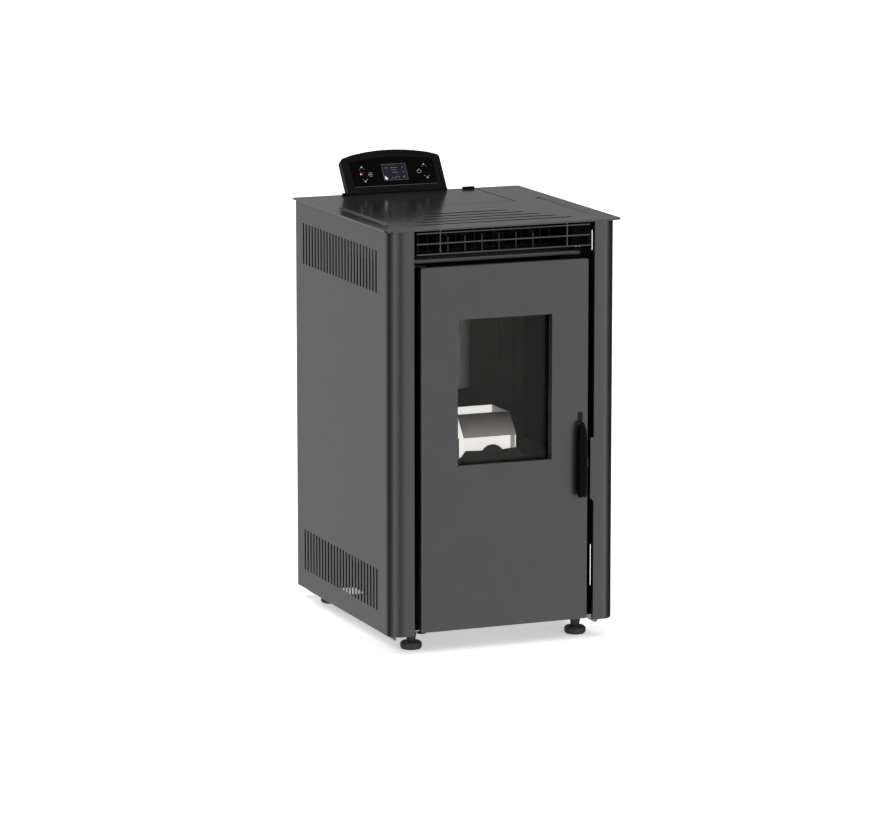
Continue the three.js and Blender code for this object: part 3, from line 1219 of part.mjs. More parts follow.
place(assembly, 'hopper', hopper(), galvanised());
place(assembly, 'hopper_rim', hopperRim(), galvanised());
place(assembly, 'hopper_grate', hopperGrate(), galvanised());
place(assembly, 'auger_tube', augerTube(), galvanised());
place(assembly, 'auger_screw', augerScrew(), bareSteel());
place(assembly, 'auger_gearmotor', augerGearmotor(), castIron());

place(assembly, 'exhaust_duct', exhaustDuct(), galvanised());
place(assembly, 'exhaust_blower', exhaustBlower(), galvanised());
place(assembly, 'exhaust_motor', exhaustMotor(), blackPlastic());
place(assembly, 'exhaust_impeller', exhaustImpeller(), bareSteel());
place(assembly, 'flue_spigot', flueSpigot(), galvanised());
place(assembly, 'air_intake_pipe', intakePipe(), galvanised());
place(assembly, 'room_fan_housing', roomFanHousing(), galvanised());
place(assembly, 'room_fan_wheel', roomFanWheel(), galvanised());
place(assembly, 'room_fan_motor', roomFanMotor(), blackPlastic());

place(assembly, 'control_board', controlBoard(), board());
place(assembly, 'mains_inlet', mainsInlet(), blackPlastic());
place(assembly, 'power_switch', powerSwitch(), blackPlastic());
place(assembly, 'thermostat_cap', thermostatCap(), blackPlastic());
place(assembly, 'console_housing', consoleHousing(), blackPlastic());
place(assembly, 'console_fascia', consoleFascia(), blackPlastic());
place(assembly, 'console_display', consoleDisplay(), ceramicGlass());

place(assembly, 'hopper_lid', hopperLid(), powderCoat());
place(assembly, 'lid_gasket', lidGasket(), rubber());

const door = new THREE.Group();
assembly.add(door);
place(door, 'door_panel', doorPanel(), powderCoat());
place(door, 'door_frame', doorFrame(), castIron());
place(door, 'door_glass', doorGlass(), ceramicGlass());
place(door, 'glass_retainer', glassRetainer(), bareSteel());
place(door, 'door_seal', doorSeal(), rope());
place(door, 'lower_hinge_pin', hingePin(DOOR_BOTTOM - GAP - BRACKET_THICKNESS), bareSteel());
place(door, 'upper_hinge_pin', hingePin(doorTop - HINGE_PIN_LENGTH + GAP), bareSteel());
place(door, 'door_catch', doorCatch(), bareSteel());
place(door, 'handle_mount', handleMount(), blackCoat());
place(door, 'handle_pin', handlePin(), bareSteel());
place(door, 'door_handle', doorHandle(), blackPlastic());

['front_left', 'front_right', 'rear_left', 'rear_right'].forEach((name, i) => {
  const foot = place(assembly, `foot_${name}`, levellingFoot(), blackPlastic());
  foot.position.set(...footSpots[i], 0);
});

export default stove;
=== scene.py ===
"""A free-standing pellet stove in a plain pale studio."""
import json
import math

import bmesh
import bpy
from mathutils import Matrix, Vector


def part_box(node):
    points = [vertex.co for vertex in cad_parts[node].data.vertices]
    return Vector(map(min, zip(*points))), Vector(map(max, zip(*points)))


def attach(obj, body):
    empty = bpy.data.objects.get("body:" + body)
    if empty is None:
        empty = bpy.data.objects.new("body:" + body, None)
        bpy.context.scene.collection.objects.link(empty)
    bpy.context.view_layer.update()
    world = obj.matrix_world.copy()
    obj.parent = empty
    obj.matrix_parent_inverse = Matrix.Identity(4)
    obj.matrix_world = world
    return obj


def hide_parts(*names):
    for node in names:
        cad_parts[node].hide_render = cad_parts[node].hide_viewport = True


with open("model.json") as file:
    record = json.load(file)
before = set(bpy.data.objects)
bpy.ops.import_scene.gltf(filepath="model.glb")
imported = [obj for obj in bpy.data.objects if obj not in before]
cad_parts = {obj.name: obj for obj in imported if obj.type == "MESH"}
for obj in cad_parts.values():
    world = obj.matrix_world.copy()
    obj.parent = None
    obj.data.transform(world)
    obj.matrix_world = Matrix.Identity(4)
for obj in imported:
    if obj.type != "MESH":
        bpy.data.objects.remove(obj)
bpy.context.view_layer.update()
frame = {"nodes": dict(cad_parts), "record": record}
MM = 0.001

# ---------- camera ----------
CAMERA_PLACE = (-3.2728, -8.0016, 1.9981)
CAMERA_AZIMUTH = math.radians(22.203)
CAMERA_DIP = math.radians(10.447)
SENSOR_WIDTH = 36
FOCAL_LENGTH = 185.26


def add_camera():
    lens = bpy.data.cameras.new("camera")
    lens.sensor_fit = "HORIZONTAL"
    lens.sensor_width = SENSOR_WIDTH
    lens.lens = FOCAL_LENGTH
    lens.clip_end = 100
    camera = bpy.data.objects.new("camera", lens)
    bpy.context.scene.collection.objects.link(camera)
    camera.location = CAMERA_PLACE
    camera.rotation_euler = (math.pi / 2 - CAMERA_DIP, 0, -CAMERA_AZIMUTH)
    bpy.context.scene.camera = camera


# ---------- light ----------
# Brightness of the studio around the stove, by the angle from the front towards the right.
STUDIO_BANDS = [
    (-180, 0.35), (-158, 0.78), (-140, 0.6), (-122, 0.1), (-100, 0.02), (-84, 0.4), (-58, 1.3), (-40, 0.95),
    (-20, 0.3), (2, 0.6), (22, 1.0), (42, 1.5), (58, 0.7), (76, 0.06), (110, 0.02), (140, 0.12), (165, 0.32),
    (180, 0.35),
]
ZENITH = 1.6
ZENITH_FADE = (0.25, 0.85)  # heights in a view direction between which the bands give way to the zenith


def add_world():
    world = bpy.data.worlds.new("studio")
    bpy.context.scene.world = world
    world.use_nodes = True
    tree = world.node_tree
    tree.nodes.clear()
    link = tree.links.new
    direction = tree.nodes.new("ShaderNodeTexCoord").outputs["Generated"]
    split = tree.nodes.new("ShaderNodeSeparateXYZ")
    link(direction, split.inputs[0])
    front = math_node(tree, "MULTIPLY", split.outputs["Y"], -1)
    angle = math_node(tree, "ARCTAN2", split.outputs["X"], front)
    share = map_range(tree, angle, -math.pi, math.pi, 0, 1)
    bands = ramp(tree, share, [((a + 180) / 360, (v / 2,) * 3) for a, v in STUDIO_BANDS], "EASE")
    level = math_node(tree, "MULTIPLY", bands, 2)
    height = map_range(tree, split.outputs["Z"], *ZENITH_FADE, 0, 1)
    sky = mix_value(tree, height, level, ZENITH)
    light = tree.nodes.new("ShaderNodeBackground")
    link(sky, light.inputs["Color"])
    white = tree.nodes.new("ShaderNodeBackground")
    white.inputs["Color"].default_value = (1, 1, 1, 1)
    path = tree.nodes.new("ShaderNodeLightPath")
    mix = tree.nodes.new("ShaderNodeMixShader")
    link(path.outputs["Is Camera Ray"], mix.inputs[0])
    link(light.outputs[0], mix.inputs[1])
    link(white.outputs[0], mix.inputs[2])
    output = tree.nodes.new("ShaderNodeOutputWorld")
    link(mix.outputs[0], output.inputs["Surface"])


FLOOR_REACH = 30
FLOOR_COLOR = (0.8, 0.8, 0.8, 1)
# Glow that only the camera sees, directly or through glass, so the floor stays pale but keeps the shadow.
FLOOR_LIFT = 0.45


def add_floor():
    mesh = bpy.data.meshes.new("floor")
    corners = [(x * FLOOR_REACH, y * FLOOR_REACH, 0) for x, y in ((-1, -1), (1, -1), (1, 1), (-1, 1))]
    mesh.from_pydata(corners, [], [(0, 1, 2, 3)])
    floor = bpy.data.objects.new("floor", mesh)
    floor.visible_glossy = False  # glossy faces mirror the studio all round instead
    bpy.context.scene.collection.objects.link(floor)
    material = bpy.data.materials.new("floor")
    material.use_nodes = True
    tree = material.node_tree
    tree.nodes.clear()
    link = tree.links.new
    matt = tree.nodes.new("ShaderNodeBsdfDiffuse")
    matt.inputs["Color"].default_value = FLOOR_COLOR
    glow = tree.nodes.new("ShaderNodeEmission")
    path = tree.nodes.new("ShaderNodeLightPath")
    seen = math_node(tree, "MAXIMUM", path.outputs["Is Camera Ray"], path.outputs["Is Transmission Ray"])
    link(math_node(tree, "MULTIPLY", seen, FLOOR_LIFT), glow.inputs["Strength"])
    both = tree.nodes.new("ShaderNodeAddShader")
    link(matt.outputs[0], both.inputs[0])
    link(glow.outputs[0], both.inputs[1])
    output = tree.nodes.new("ShaderNodeOutputMaterial")
    link(both.outputs[0], output.inputs["Surface"])
    mesh.materials.append(material)


# ---------- node helpers ----------
def math_node(tree, operation, *values):
    node = tree.nodes.new("ShaderNodeMath")
    node.operation = operation
    for socket, value in zip(node.inputs, values):
        if isinstance(value, (int, float)):
            socket.default_value = value
        else:
            tree.links.new(value, socket)
    return node.outputs[0]


def map_range(tree, value, low, high, to_low, to_high):
    node = tree.nodes.new("ShaderNodeMapRange")
    tree.links.new(value, node.inputs["Value"])
    for name, number in zip(("From Min", "From Max", "To Min", "To Max"), (low, high, to_low, to_high)):
        node.inputs[name].default_value = number
    return node.outputs[0]


def mix_value(tree, factor, a, b):
    node = tree.nodes.new("ShaderNodeMix")
    tree.links.new(factor, node.inputs[0])
    for socket, value in ((node.inputs[2], a), (node.inputs[3], b)):
        if isinstance(value, (int, float)):
            socket.default_value = value
        else:
            tree.links.new(value, socket)
    return node.outputs[0]


def ramp(tree, factor, stops, interpolation="LINEAR"):
    node = tree.nodes.new("ShaderNodeValToRGB")
    node.color_ramp.interpolation = interpolation
    elements = node.color_ramp.elements
    while len(elements) > 1:
        elements.remove(elements[-1])
    for i, (place, color) in enumerate(stops):
        element = elements[0] if i == 0 else elements.new(place)
        element.position = place
        element.color = (*color, 1)
    tree.links.new(factor, node.inputs[0])
    return node.outputs[0]


def noise(tree, place, scale, detail=2.0, roughness=0.5):
    node = tree.nodes.new("ShaderNodeTexNoise")
    node.inputs["Scale"].default_value = scale
    node.inputs["Detail"].default_value = detail
    node.inputs["Roughness"].default_value = roughness
    tree.links.new(place, node.inputs["Vector"])
    return node.outputs["Fac"]


def bump(tree, height, distance):
    node = tree.nodes.new("ShaderNodeBump")
    node.inputs["Strength"].default_value = 1.0
    node.inputs["Distance"].default_value = distance
    tree.links.new(height, node.inputs["Height"])
    return node.outputs["Normal"]


def new_material(name, roughness, metallic=0.0, specular=0.5):
    material = bpy.data.materials.new(name)
    material.use_nodes = True
    tree = material.node_tree
    shader = tree.nodes["Principled BSDF"]
    shader.inputs["Roughness"].default_value = roughness
    shader.inputs["Metallic"].default_value = metallic
    shader.inputs["Specular IOR Level"].default_value = specular
    place = tree.nodes.new("ShaderNodeTexCoord").outputs["Object"]
    return material, tree, shader, place


def mottled(name, dark, light, roughness, grain, grain_depth, metallic=0.0, specular=0.5, cloud=14.0):
    """A surface whose colour drifts a little, whose gloss varies, and whose skin has a fine grain."""
    material, tree, shader, place = new_material(name, roughness, metallic, specular)
    drift = noise(tree, place, cloud, 4, 0.55)
    tree.links.new(ramp(tree, drift, [(0.3, dark), (0.7, light)]), shader.inputs["Base Color"])
    fine = noise(tree, place, grain, 3, 0.6)
    gloss = map_range(tree, fine, 0.3, 0.7, roughness - 0.04, roughness + 0.05)
    tree.links.new(gloss, shader.inputs["Roughness"])
    tree.links.new(bump(tree, fine, grain_depth), shader.inputs["Normal"])
    return material


# ---------- materials ----------
def powder_coat(name="powder_coat", roughness=0.3):
    return mottled(name, (0.0115,) * 3, (0.0145, 0.0145, 0.0148), roughness, 1400, 0.00003, specular=1.0)


def black_coat():
    return mottled("black_coat", (0.006,) * 3, (0.009,) * 3, 0.55, 900, 0.0001, specular=0.25)


def black_plastic():
    return mottled("black_plastic", (0.003,) * 3, (0.0045,) * 3, 0.4, 1800, 0.00003, specular=0.14)


def console_gloss():
    return mottled("console_gloss", (0.0022,) * 3, (0.003,) * 3, 0.3, 1500, 0.00001, specular=0.045)


def faceplate_gloss():
    return mottled("faceplate_gloss", (0.0012,) * 3, (0.0018,) * 3, 0.22, 1500, 0.00001, specular=0.015)


def bare_steel():
    return mottled("bare_steel", (0.5, 0.49, 0.48), (0.62, 0.61, 0.6), 0.36, 600, 0.00004, metallic=1.0)


def galvanised():
    material, tree, shader, place = new_material("galvanised_steel", 0.42, 0.9)
    cells = tree.nodes.new("ShaderNodeTexVoronoi")
    cells.inputs["Scale"].default_value = 150
    tree.links.new(place, cells.inputs["Vector"])
    tone = ramp(tree, cells.outputs["Color"], [(0.2, (0.4, 0.41, 0.42)), (0.8, (0.46, 0.47, 0.48))])
    tree.links.new(tone, shader.inputs["Base Color"])
    gloss = map_range(tree, cells.outputs["Distance"], 0, 1, 0.38, 0.48)
    tree.links.new(gloss, shader.inputs["Roughness"])
    tree.links.new(bump(tree, noise(tree, place, 500, 3), 0.00004), shader.inputs["Normal"])
    return material


def cast_iron():
    return mottled("cast_iron", (0.018,) * 3, (0.034, 0.033, 0.032), 0.62, 420, 0.0003, metallic=0.2)


def rope():
    material, tree, shader, place = new_material("seal_rope", 0.95)
    wave = tree.nodes.new("ShaderNodeTexWave")
    wave.bands_direction = "DIAGONAL"
    wave.inputs["Scale"].default_value = 110
    wave.inputs["Distortion"].default_value = 2.5
    tree.links.new(place, wave.inputs["Vector"])
    tone = ramp(tree, wave.outputs["Fac"], [(0.1, (0.28, 0.27, 0.24)), (0.9, (0.6, 0.58, 0.52))])
    tree.links.new(tone, shader.inputs["Base Color"])
    tree.links.new(bump(tree, wave.outputs["Fac"], 0.0008), shader.inputs["Normal"])
    return material


def rubber():
    return mottled("seal_rubber", (0.008,) * 3, (0.014,) * 3, 0.75, 900, 0.00008)


def circuit_board():
    return mottled("circuit_board", (0.006, 0.06, 0.02), (0.01, 0.1, 0.035), 0.4, 300, 0.00008)


def door_glass():
    material, tree, shader, place = new_material("ceramic_glass", 0.04)
    shader.inputs["Base Color"].default_value = (0.92, 0.9, 0.87, 1)
    shader.inputs["Transmission Weight"].default_value = 1.0
    shader.inputs["IOR"].default_value = 1.19
    haze = noise(tree, place, 25, 3)
    tree.links.new(map_range(tree, haze, 0.35, 0.75, 0.03, 0.1), shader.inputs["Roughness"])
    return material


def display_glass():
    dark, light = (0.009, 0.008, 0.013), (0.016, 0.013, 0.024)
    return mottled("display_glass", dark, light, 0.2, 900, 0.00001, specular=0.06, cloud=60)


def print_white():
    return mottled("print_white", (0.3, 0.3, 0.31), (0.42, 0.42, 0.43), 0.5, 900, 0.00001)


def glowing(material, color, strength):
    shader = material.node_tree.nodes["Principled BSDF"]
    shader.inputs["Emission Color"].default_value = (*color, 1)
    shader.inputs["Emission Strength"].default_value = strength
    return material


def signal_red():
    red = mottled("signal_red", (0.5, 0.04, 0.08), (0.7, 0.08, 0.14), 0.3, 900, 0.00001)
    return glowing(red, (1.0, 0.5, 0.6), 0.9)


def pot_steel():
    return mottled("pot_steel", (0.42, 0.41, 0.4), (0.52, 0.51, 0.5), 0.45, 300, 0.00006)


def pot_lining_painted_glow():
    """The pot's pale faces towards the fire, with a glow that is painted light."""
    pale = mottled("pot_lining_painted_glow", (0.84, 0.83, 0.82), (0.92, 0.92, 0.91), 0.6, 300, 0.00006)
    return glowing(pale, (1, 1, 1), 0.7)


def graded_steel(low, high):
    """Steel that is pale at one height and darker at another, in metres."""
    material, tree, shader, place = new_material("graded_steel", 0.45)
    split = tree.nodes.new("ShaderNodeSeparateXYZ")
    tree.links.new(place, split.inputs[0])
    share = map_range(tree, split.outputs["Z"], low, high, 0, 1)
    patches = math_node(tree, "MULTIPLY_ADD", noise(tree, place, 60, 4), 0.2, -0.1)
    uneven = math_node(tree, "ADD", share, patches)
    stops = [(0.0, (0.42, 0.41, 0.4)), (0.45, (0.24, 0.235, 0.23)), (1.0, (0.06, 0.058, 0.056))]
    tone = ramp(tree, uneven, stops)
    tree.links.new(tone, shader.inputs["Base Color"])
    tree.links.new(bump(tree, noise(tree, place, 300, 3), 0.00006), shader.inputs["Normal"])
    return material


# A darker, less glossy version of the plate's coat: painted shade for the grooves' sloping sides.
def groove_painted_shade():
    return mottled("groove_painted_shade", (0.008,) * 3, (0.0105,) * 3, 0.3, 1400, 0.00003, specular=0.5)


def chute_steel():
    return mottled("chute_steel", (0.26,) * 3, (0.34,) * 3, 0.5, 500, 0.00005, metallic=0.3)


def foot_plastic():
    return mottled("foot_plastic", (0.045,) * 3, (0.06,) * 3, 0.5, 900, 0.00005, specular=0.3)


def handle_plastic():
    return mottled("handle_plastic", (0.0018,) * 3, (0.0026,) * 3, 0.5, 1800, 0.00003, specular=0.06)


def zinc_screw():
    return mottled("zinc_screw", (0.3, 0.3, 0.31), (0.42, 0.42, 0.43), 0.38, 900, 0.00003, metallic=1.0)


def dark_screw():
    return mottled("dark_screw", (0.012,) * 3, (0.02,) * 3, 0.42, 900, 0.00003, specular=0.5)


def print_dim():
    return mottled("print_dim", (0.1, 0.1, 0.13), (0.16, 0.16, 0.2), 0.5, 900, 0.00001)


def print_bright():
    return mottled("print_bright", (0.8,) * 3, (0.9,) * 3, 0.5, 900, 0.00001)


# A dark red disc round the lamp: the lamp's glow on the faceplate, painted as colour.
def painted_lamp_glow():
    dark, light = (0.03, 0.001, 0.006), (0.05, 0.002, 0.01)
    return mottled("painted_lamp_glow", dark, light, 0.3, 900, 0.00001, specular=0.1)


# A grey line along the faceplate's lower edge: a painted highlight of that edge.
def painted_edge_highlight():
    return mottled("painted_edge_highlight", (0.05,) * 3, (0.07,) * 3, 0.4, 900, 0.00001, specular=0.3)


FINISHES = {
    "powder_coat": powder_coat(), "black_coat": black_coat(), "black_plastic": black_plastic(),
    "bare_steel": bare_steel(), "galvanised_steel": galvanised(), "cast_iron": cast_iron(),
    "seal_rope": rope(), "seal_rubber": rubber(), "circuit_board": circuit_board(),
    "ceramic_glass": door_glass(), "display_glass": display_glass(),
}
CONSOLE_GLOSS = console_gloss()
PLATE_COAT = powder_coat("plate_coat", 0.13)
PRINT_WHITE = print_white()
SIGNAL_RED = signal_red()
POT_STEEL = pot_steel()
PRINT_DIM = print_dim()
PRINT_BRIGHT = print_bright()
PAINTED_LAMP_GLOW = painted_lamp_glow()
PAINTED_EDGE_HIGHLIGHT = painted_edge_highlight()
FACEPLATE = faceplate_gloss()
ZINC_SCREW = zinc_screw()
DARK_SCREW = dark_screw()
FOOT_PLASTIC = foot_plastic()
OWN_FINISH = {
    "console_housing": CONSOLE_GLOSS, "console_fascia": CONSOLE_GLOSS, "console_display": FACEPLATE,
    "top_plate": PLATE_COAT, "hopper_lid": PLATE_COAT, "door_catch": FINISHES["black_coat"],
    "handle_pin": DARK_SCREW, "lower_hinge_pin": DARK_SCREW, "upper_hinge_pin": DARK_SCREW,
    "burn_pot": POT_STEEL, "pellet_chute": chute_steel(), "door_handle": handle_plastic(),
    **{f"foot_{end}_{side}": FOOT_PLASTIC for end in ("front", "rear") for side in ("left", "right")},
}

BODIES = frame["record"]["behaviour"]["bodies"]
BODY_OF = {node: body for body, nodes in BODIES.items() for node in nodes}
SLOT_OF = {entry["node"]: entry["material_slot"] for entry in frame["record"]["subparts"]}


# ---------- pieces made from the frame ----------
SHARP_ANGLE = math.radians(50)  # edges steeper than this stay sharp
ROUNDED_ANGLE = math.radians(28)  # edges steeper than this are rounded

# Width of the rounded edges in millimetres.
ROUNDING = {
    "top_plate": 0.5, "hopper_lid": 1.3, "door_panel": 1.0, "right_side_panel": 0.35, "left_side_panel": 0.35,
    "right_front_column": 0.5, "left_front_column": 0.5, "door_handle": 1.6, "console_housing": 1.2,
    "console_fascia": 0.3, "console_display": 0.2, "rear_cover": 0.3, "air_outlet_grille": 0.4,
    "door_glass": 0.3, "burn_pot": 0.4, "burn_pot_cradle": 0.6, "door_frame": 1.0, "auger_screw": 0,
    "flue_spigot": 0.3, "air_intake_pipe": 0.3, "handle_mount": 0.4,
}
DEFAULT_ROUNDING = 0.4
BOX_FACES = ((0, 1, 3, 2), (4, 6, 7, 5), (0, 4, 5, 1), (2, 3, 7, 6), (0, 2, 6, 4), (1, 5, 7, 3))


def add_object(name, mesh, node, finish=None, slot=None):
    piece = bpy.data.objects.new(name, mesh)
    bpy.context.scene.collection.objects.link(piece)
    mesh.materials.clear()
    mesh.materials.append(finish or FINISHES[slot or SLOT_OF[node]])
    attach(piece, BODY_OF[node])
    return piece


def clean_mesh(node):
    """The node's own solid with shared corners merged."""
    work = bmesh.new()
    work.from_mesh(frame["nodes"][node].data)
    bmesh.ops.remove_doubles(work, verts=work.verts, dist=1e-6)
    return work


def finished_mesh(name, work):
    mesh = bpy.data.meshes.new(name)
    work.to_mesh(mesh)
    work.free()
    return mesh


def smooth(mesh):
    for face in mesh.polygons:
        face.use_smooth = True


def dress(node, width, finish=None):
    """Stands in for a node: the same solid with rounded edges and smooth curves. width is in millimetres."""
    mesh = finished_mesh(node + "_skin", clean_mesh(node))
    smooth(mesh)
    mesh.set_sharp_from_angle(angle=SHARP_ANGLE)
    piece = add_object(node + "_skin", mesh, node, finish)
    if width > 0:
        rounding = piece.modifiers.new("rounding", "BEVEL")
        rounding.width = width * MM
        rounding.segments = 2
        rounding.limit_method = "ANGLE"
        rounding.angle_limit = ROUNDED_ANGLE
        rounding.use_clamp_overlap = True
        rounding.harden_normals = False
        rounding.miter_outer = "MITER_ARC"
    flat = piece.modifiers.new("flat faces", "WEIGHTED_NORMAL")
    flat.keep_sharp = True
    flat.weight = 100
    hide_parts(node)
    return piece


# ---------- finishes of single faces ----------
def paint_faces(piece, finish, chosen):
    """Gives a finish to the faces for which chosen(centre in millimetres, normal) is true."""
    mesh = piece.data
    mesh.materials.append(finish)
    for face in mesh.polygons:
        if chosen(face.center / MM, face.normal):
            face.material_index = len(mesh.materials) - 1


def corners_mm(node):
    low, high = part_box(node)
    return [v / MM for v in low], [v / MM for v in high]


PLATE_THICKNESS = 3
GROOVE_SLOPE = (0.9, 0.996)  # upward part of the normal on a groove's sloping sides


def paint_top(plate, lid):
    """Painted shade in the grooves along the plate's sides, and black knuckles on the lid's hinge."""
    surface = corners_mm("top_plate")[0][2] + PLATE_THICKNESS
    gentle, steep = GROOVE_SLOPE
    # the groove faces get painted shade
    paint_faces(plate, groove_painted_shade(), lambda centre, normal: gentle < normal.z < steep and centre.z < surface)
    for piece in (plate, lid):
        paint_faces(piece, CONSOLE_GLOSS, lambda centre, normal: centre.z > surface + 0.3)


POT_DEPTH = 76
POT_WALL = 2
APRON_DROP = 38


def paint_pot(pot):
    """Pale faces towards the fire with a painted glow, and an apron that darkens towards its top."""
    x1, y1, z1 = corners_mm("burn_pot")[1]
    front_wall = y1 - POT_DEPTH
    apron_grading = graded_steel((z1 - APRON_DROP) * MM, z1 * MM)
    paint_faces(pot, apron_grading, lambda centre, normal: normal.y < -0.3 and normal.z > 0.3)

    def glowing_faces(centre, normal):
        on_front = abs(centre.y - front_wall) < 1
        on_rear = centre.y > y1 - 2 * POT_WALL
        on_side = abs(centre.x) > x1 - 2 * POT_WALL
        return normal.y < -0.9 and (on_front or on_rear or on_side)

    # the faces towards the fire get a pale colour with a painted glow
    paint_faces(pot, pot_lining_painted_glow(), glowing_faces)


VANE_SETBACK = 34  # the duct's front edge to the front of its vanes and side walls
FLANGE_WIDTH = 36
FLANGE_GAP = 0.4
FLANGE_THICKNESS = 1.5
LIP_HEIGHT = 9
DUCT_TOP_INSET = 8


def paint_duct(duct):
    """The duct's front lip and the front edges of its vanes have the cabinet's coat."""
    low, high = corners_mm("warm_air_duct")
    front = low[1]
    vanes = front + VANE_SETBACK
    reach = high[0] / 2 + 10

    def coated(centre, normal):
        on_lip = centre.y < front + 0.5
        on_vane = abs(centre.y - vanes) < 0.5 and abs(centre.x) < reach
        return normal.y < -0.9 and (on_lip or on_vane)

    paint_faces(duct, FINISHES["powder_coat"], coated)


# ---------- plates ----------
def add_plates(name, plates, node, slot=None):
    """Flat plates in one mesh, each given by its ranges in x, y and z in millimetres."""
    work = bmesh.new()
    for ranges in plates:
        corners = [(x, y, z) for x in ranges[0] for y in ranges[1] for z in ranges[2]]
        points = [work.verts.new(Vector(corner) * MM) for corner in corners]
        for face in BOX_FACES:
            work.faces.new([points[i] for i in face])
    add_object(name, finished_mesh(name, work), node, slot=slot)


def add_duct_flanges():
    """Folds in the outlet duct's side walls that close the space beside it."""
    (_, front, low), (half, _, high) = corners_mm("warm_air_duct")
    near = front + VANE_SETBACK + 1
    along = (near, near + FLANGE_THICKNESS)
    up = (low + LIP_HEIGHT, high - DUCT_TOP_INSET)
    plates = [
        (sorted((side * (half + FLANGE_GAP), side * (half + FLANGE_WIDTH))), along, up) for side in (-1, 1)
    ]
    add_plates("duct_side_flanges", plates, "warm_air_duct")


# A dark strip that fills the slit beside the lid as painted shade.
LID_SLIT_SHADE = ((140.3, 143.2), (11, 204), (797, 800.3))  # ranges in x, y and z, in millimetres


def add_lid_slit_shade():
    """A dark rubber strip in the top plate beside the hopper lid's right edge: painted shade of the slit there.
    """
    add_plates("lid_slit_shade", [LID_SLIT_SHADE], "top_plate", "seal_rubber")


# ---------- console print ----------
# The console is built upright and leaned back: its face is a plane through the display's centre.
CONSOLE_LEAN = math.radians(35)
PRINT_THICKNESS = 0.12
PRINT_GAP = 0.02
TRIANGLE = [(-4.2, -3), (4.2, -3), (0, 4)]
SCREEN_SHIFT = 11  # middle of the display node to the middle of the lit screen
SCREEN_HALF = (25.4, 18.3)
KEYS = {"up": [(-66.5, 14.2), (63.2, 14.1)], "down": [(-64.7, -17.8), (65.3, -16.1)]}
LAMP = (-70.9, -1.6)
CONFIRM_KEY = (-50.5, -3)
POWER_KEY = (50.6, -1.2)
FASCIA_FACE = -0.65  # depth of the fascia's face in front of the middle of the display
FACEPLATE_RIGHT = 84
FACEPLATE_LEFT = -90
FACEPLATE_LOW = -28.4
FACEPLATE_SHOULDER = 26
FACEPLATE_RISE = 8
FACEPLATE_FACE = FASCIA_FACE - 0.25
SCREEN_FACE = FACEPLATE_FACE - 0.12


def polygon(sides, radius, start=0.0):
    angles = [start + 2 * math.pi * i / sides for i in range(sides)]
    return [(radius * math.cos(a), radius * math.sin(a)) for a in angles]


def bar(x, z, width, height):
    return [(x, z), (x + width, z), (x + width, z + height), (x, z + height)]


def moved(outline, x, z, scale=1.0, turn=0.0):
    cosine, sine = math.cos(turn), math.sin(turn)
    return [(x + scale * (a * cosine - b * sine), z + scale * (a * sine + b * cosine)) for a, b in outline]


def ring_segments(x, z, radius, width, start, end, steps):
    """Short four-sided pieces along an arc, for printed rings."""
    quads = []
    for i in range(steps):
        a0 = start + (end - start) * i / steps
        a1 = start + (end - start) * (i + 1) / steps
        corners = [(radius, a0), (radius, a1), (radius - width, a1), (radius - width, a0)]
        quads.append([(x + r * math.cos(a), z + r * math.sin(a)) for r, a in corners])
    return quads


def add_prism(work, outline, to_world, front, back):
    """A thin plate with the given outline in the face's own plane."""
    area = sum(a[0] * b[1] - b[0] * a[1] for a, b in zip(outline, outline[1:] + outline[:1]))
    ordered = outline if area > 0 else outline[::-1]
    near = [work.verts.new(to_world(x, front, z)) for x, z in ordered]
    far = [work.verts.new(to_world(x, back, z)) for x, z in ordered]
    work.faces.new(near)
    work.faces.new(far[::-1])
    for i in range(len(ordered)):
        j = (i + 1) % len(ordered)
        work.faces.new((near[i], far[i], far[j], near[j]))


def console_place():
    """Turns millimetres across, deep and up from the screen's centre, on the console's face, into the frame."""
    low, high = (Vector(corner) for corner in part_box("console_display"))
    centre = (low + high) / 2
    up = Vector((0, math.sin(CONSOLE_LEAN), math.cos(CONSOLE_LEAN)))
    back = Vector((0, math.cos(CONSOLE_LEAN), -math.sin(CONSOLE_LEAN)))
    return lambda x, depth, z: centre + MM * (Vector((x + SCREEN_SHIFT, 0, 0)) + depth * back + z * up)


def flat_piece(name, outlines, finish, front, back):
    """Thin plates on the console's face, from one depth to another."""
    to_world = console_place()
    work = bmesh.new()
    for outline in outlines:
        add_prism(work, outline, to_world, front, back)
    add_object(name, finished_mesh(name, work), "console_fascia", finish, "display_glass")


def faceplate_outline():
    half = (FACEPLATE_RIGHT - FACEPLATE_LEFT) / 2
    middle = (FACEPLATE_RIGHT + FACEPLATE_LEFT) / 2
    arch = []
    for i in range(25):
        share = 1 - i / 12
        arch.append((middle + half * share, FACEPLATE_SHOULDER + FACEPLATE_RISE * (1 - share * share)))
    return [(FACEPLATE_LEFT, FACEPLATE_LOW), (FACEPLATE_RIGHT, FACEPLATE_LOW)] + arch


def key_marks():
    outlines = []
    for key, turn, foot in (("up", 0.0, -5), ("down", math.pi, 4.2)):
        for x, z in KEYS[key]:
            outlines.append(moved(TRIANGLE, x, z, 0.62, turn))
            outlines += [bar(x - 5.2, z + foot, 2.2, 0.7), bar(x + 3, z + foot, 2.2, 0.7)]
    x, z = CONFIRM_KEY
    outlines += ring_segments(x, z, 5, 0.55, 0.25 * math.pi, 1.75 * math.pi, 18)
    outlines += [moved(polygon(10, 1.25), x - 1.7, z), moved(polygon(10, 1.25), x + 1.7, z)]
    x, z = POWER_KEY
    outlines += ring_segments(x, z, 4.4, 0.8, 0.62 * math.pi, 2.38 * math.pi, 20)
    outlines.append(bar(x - 0.4, z + 1, 0.8, 4.4))
    return outlines


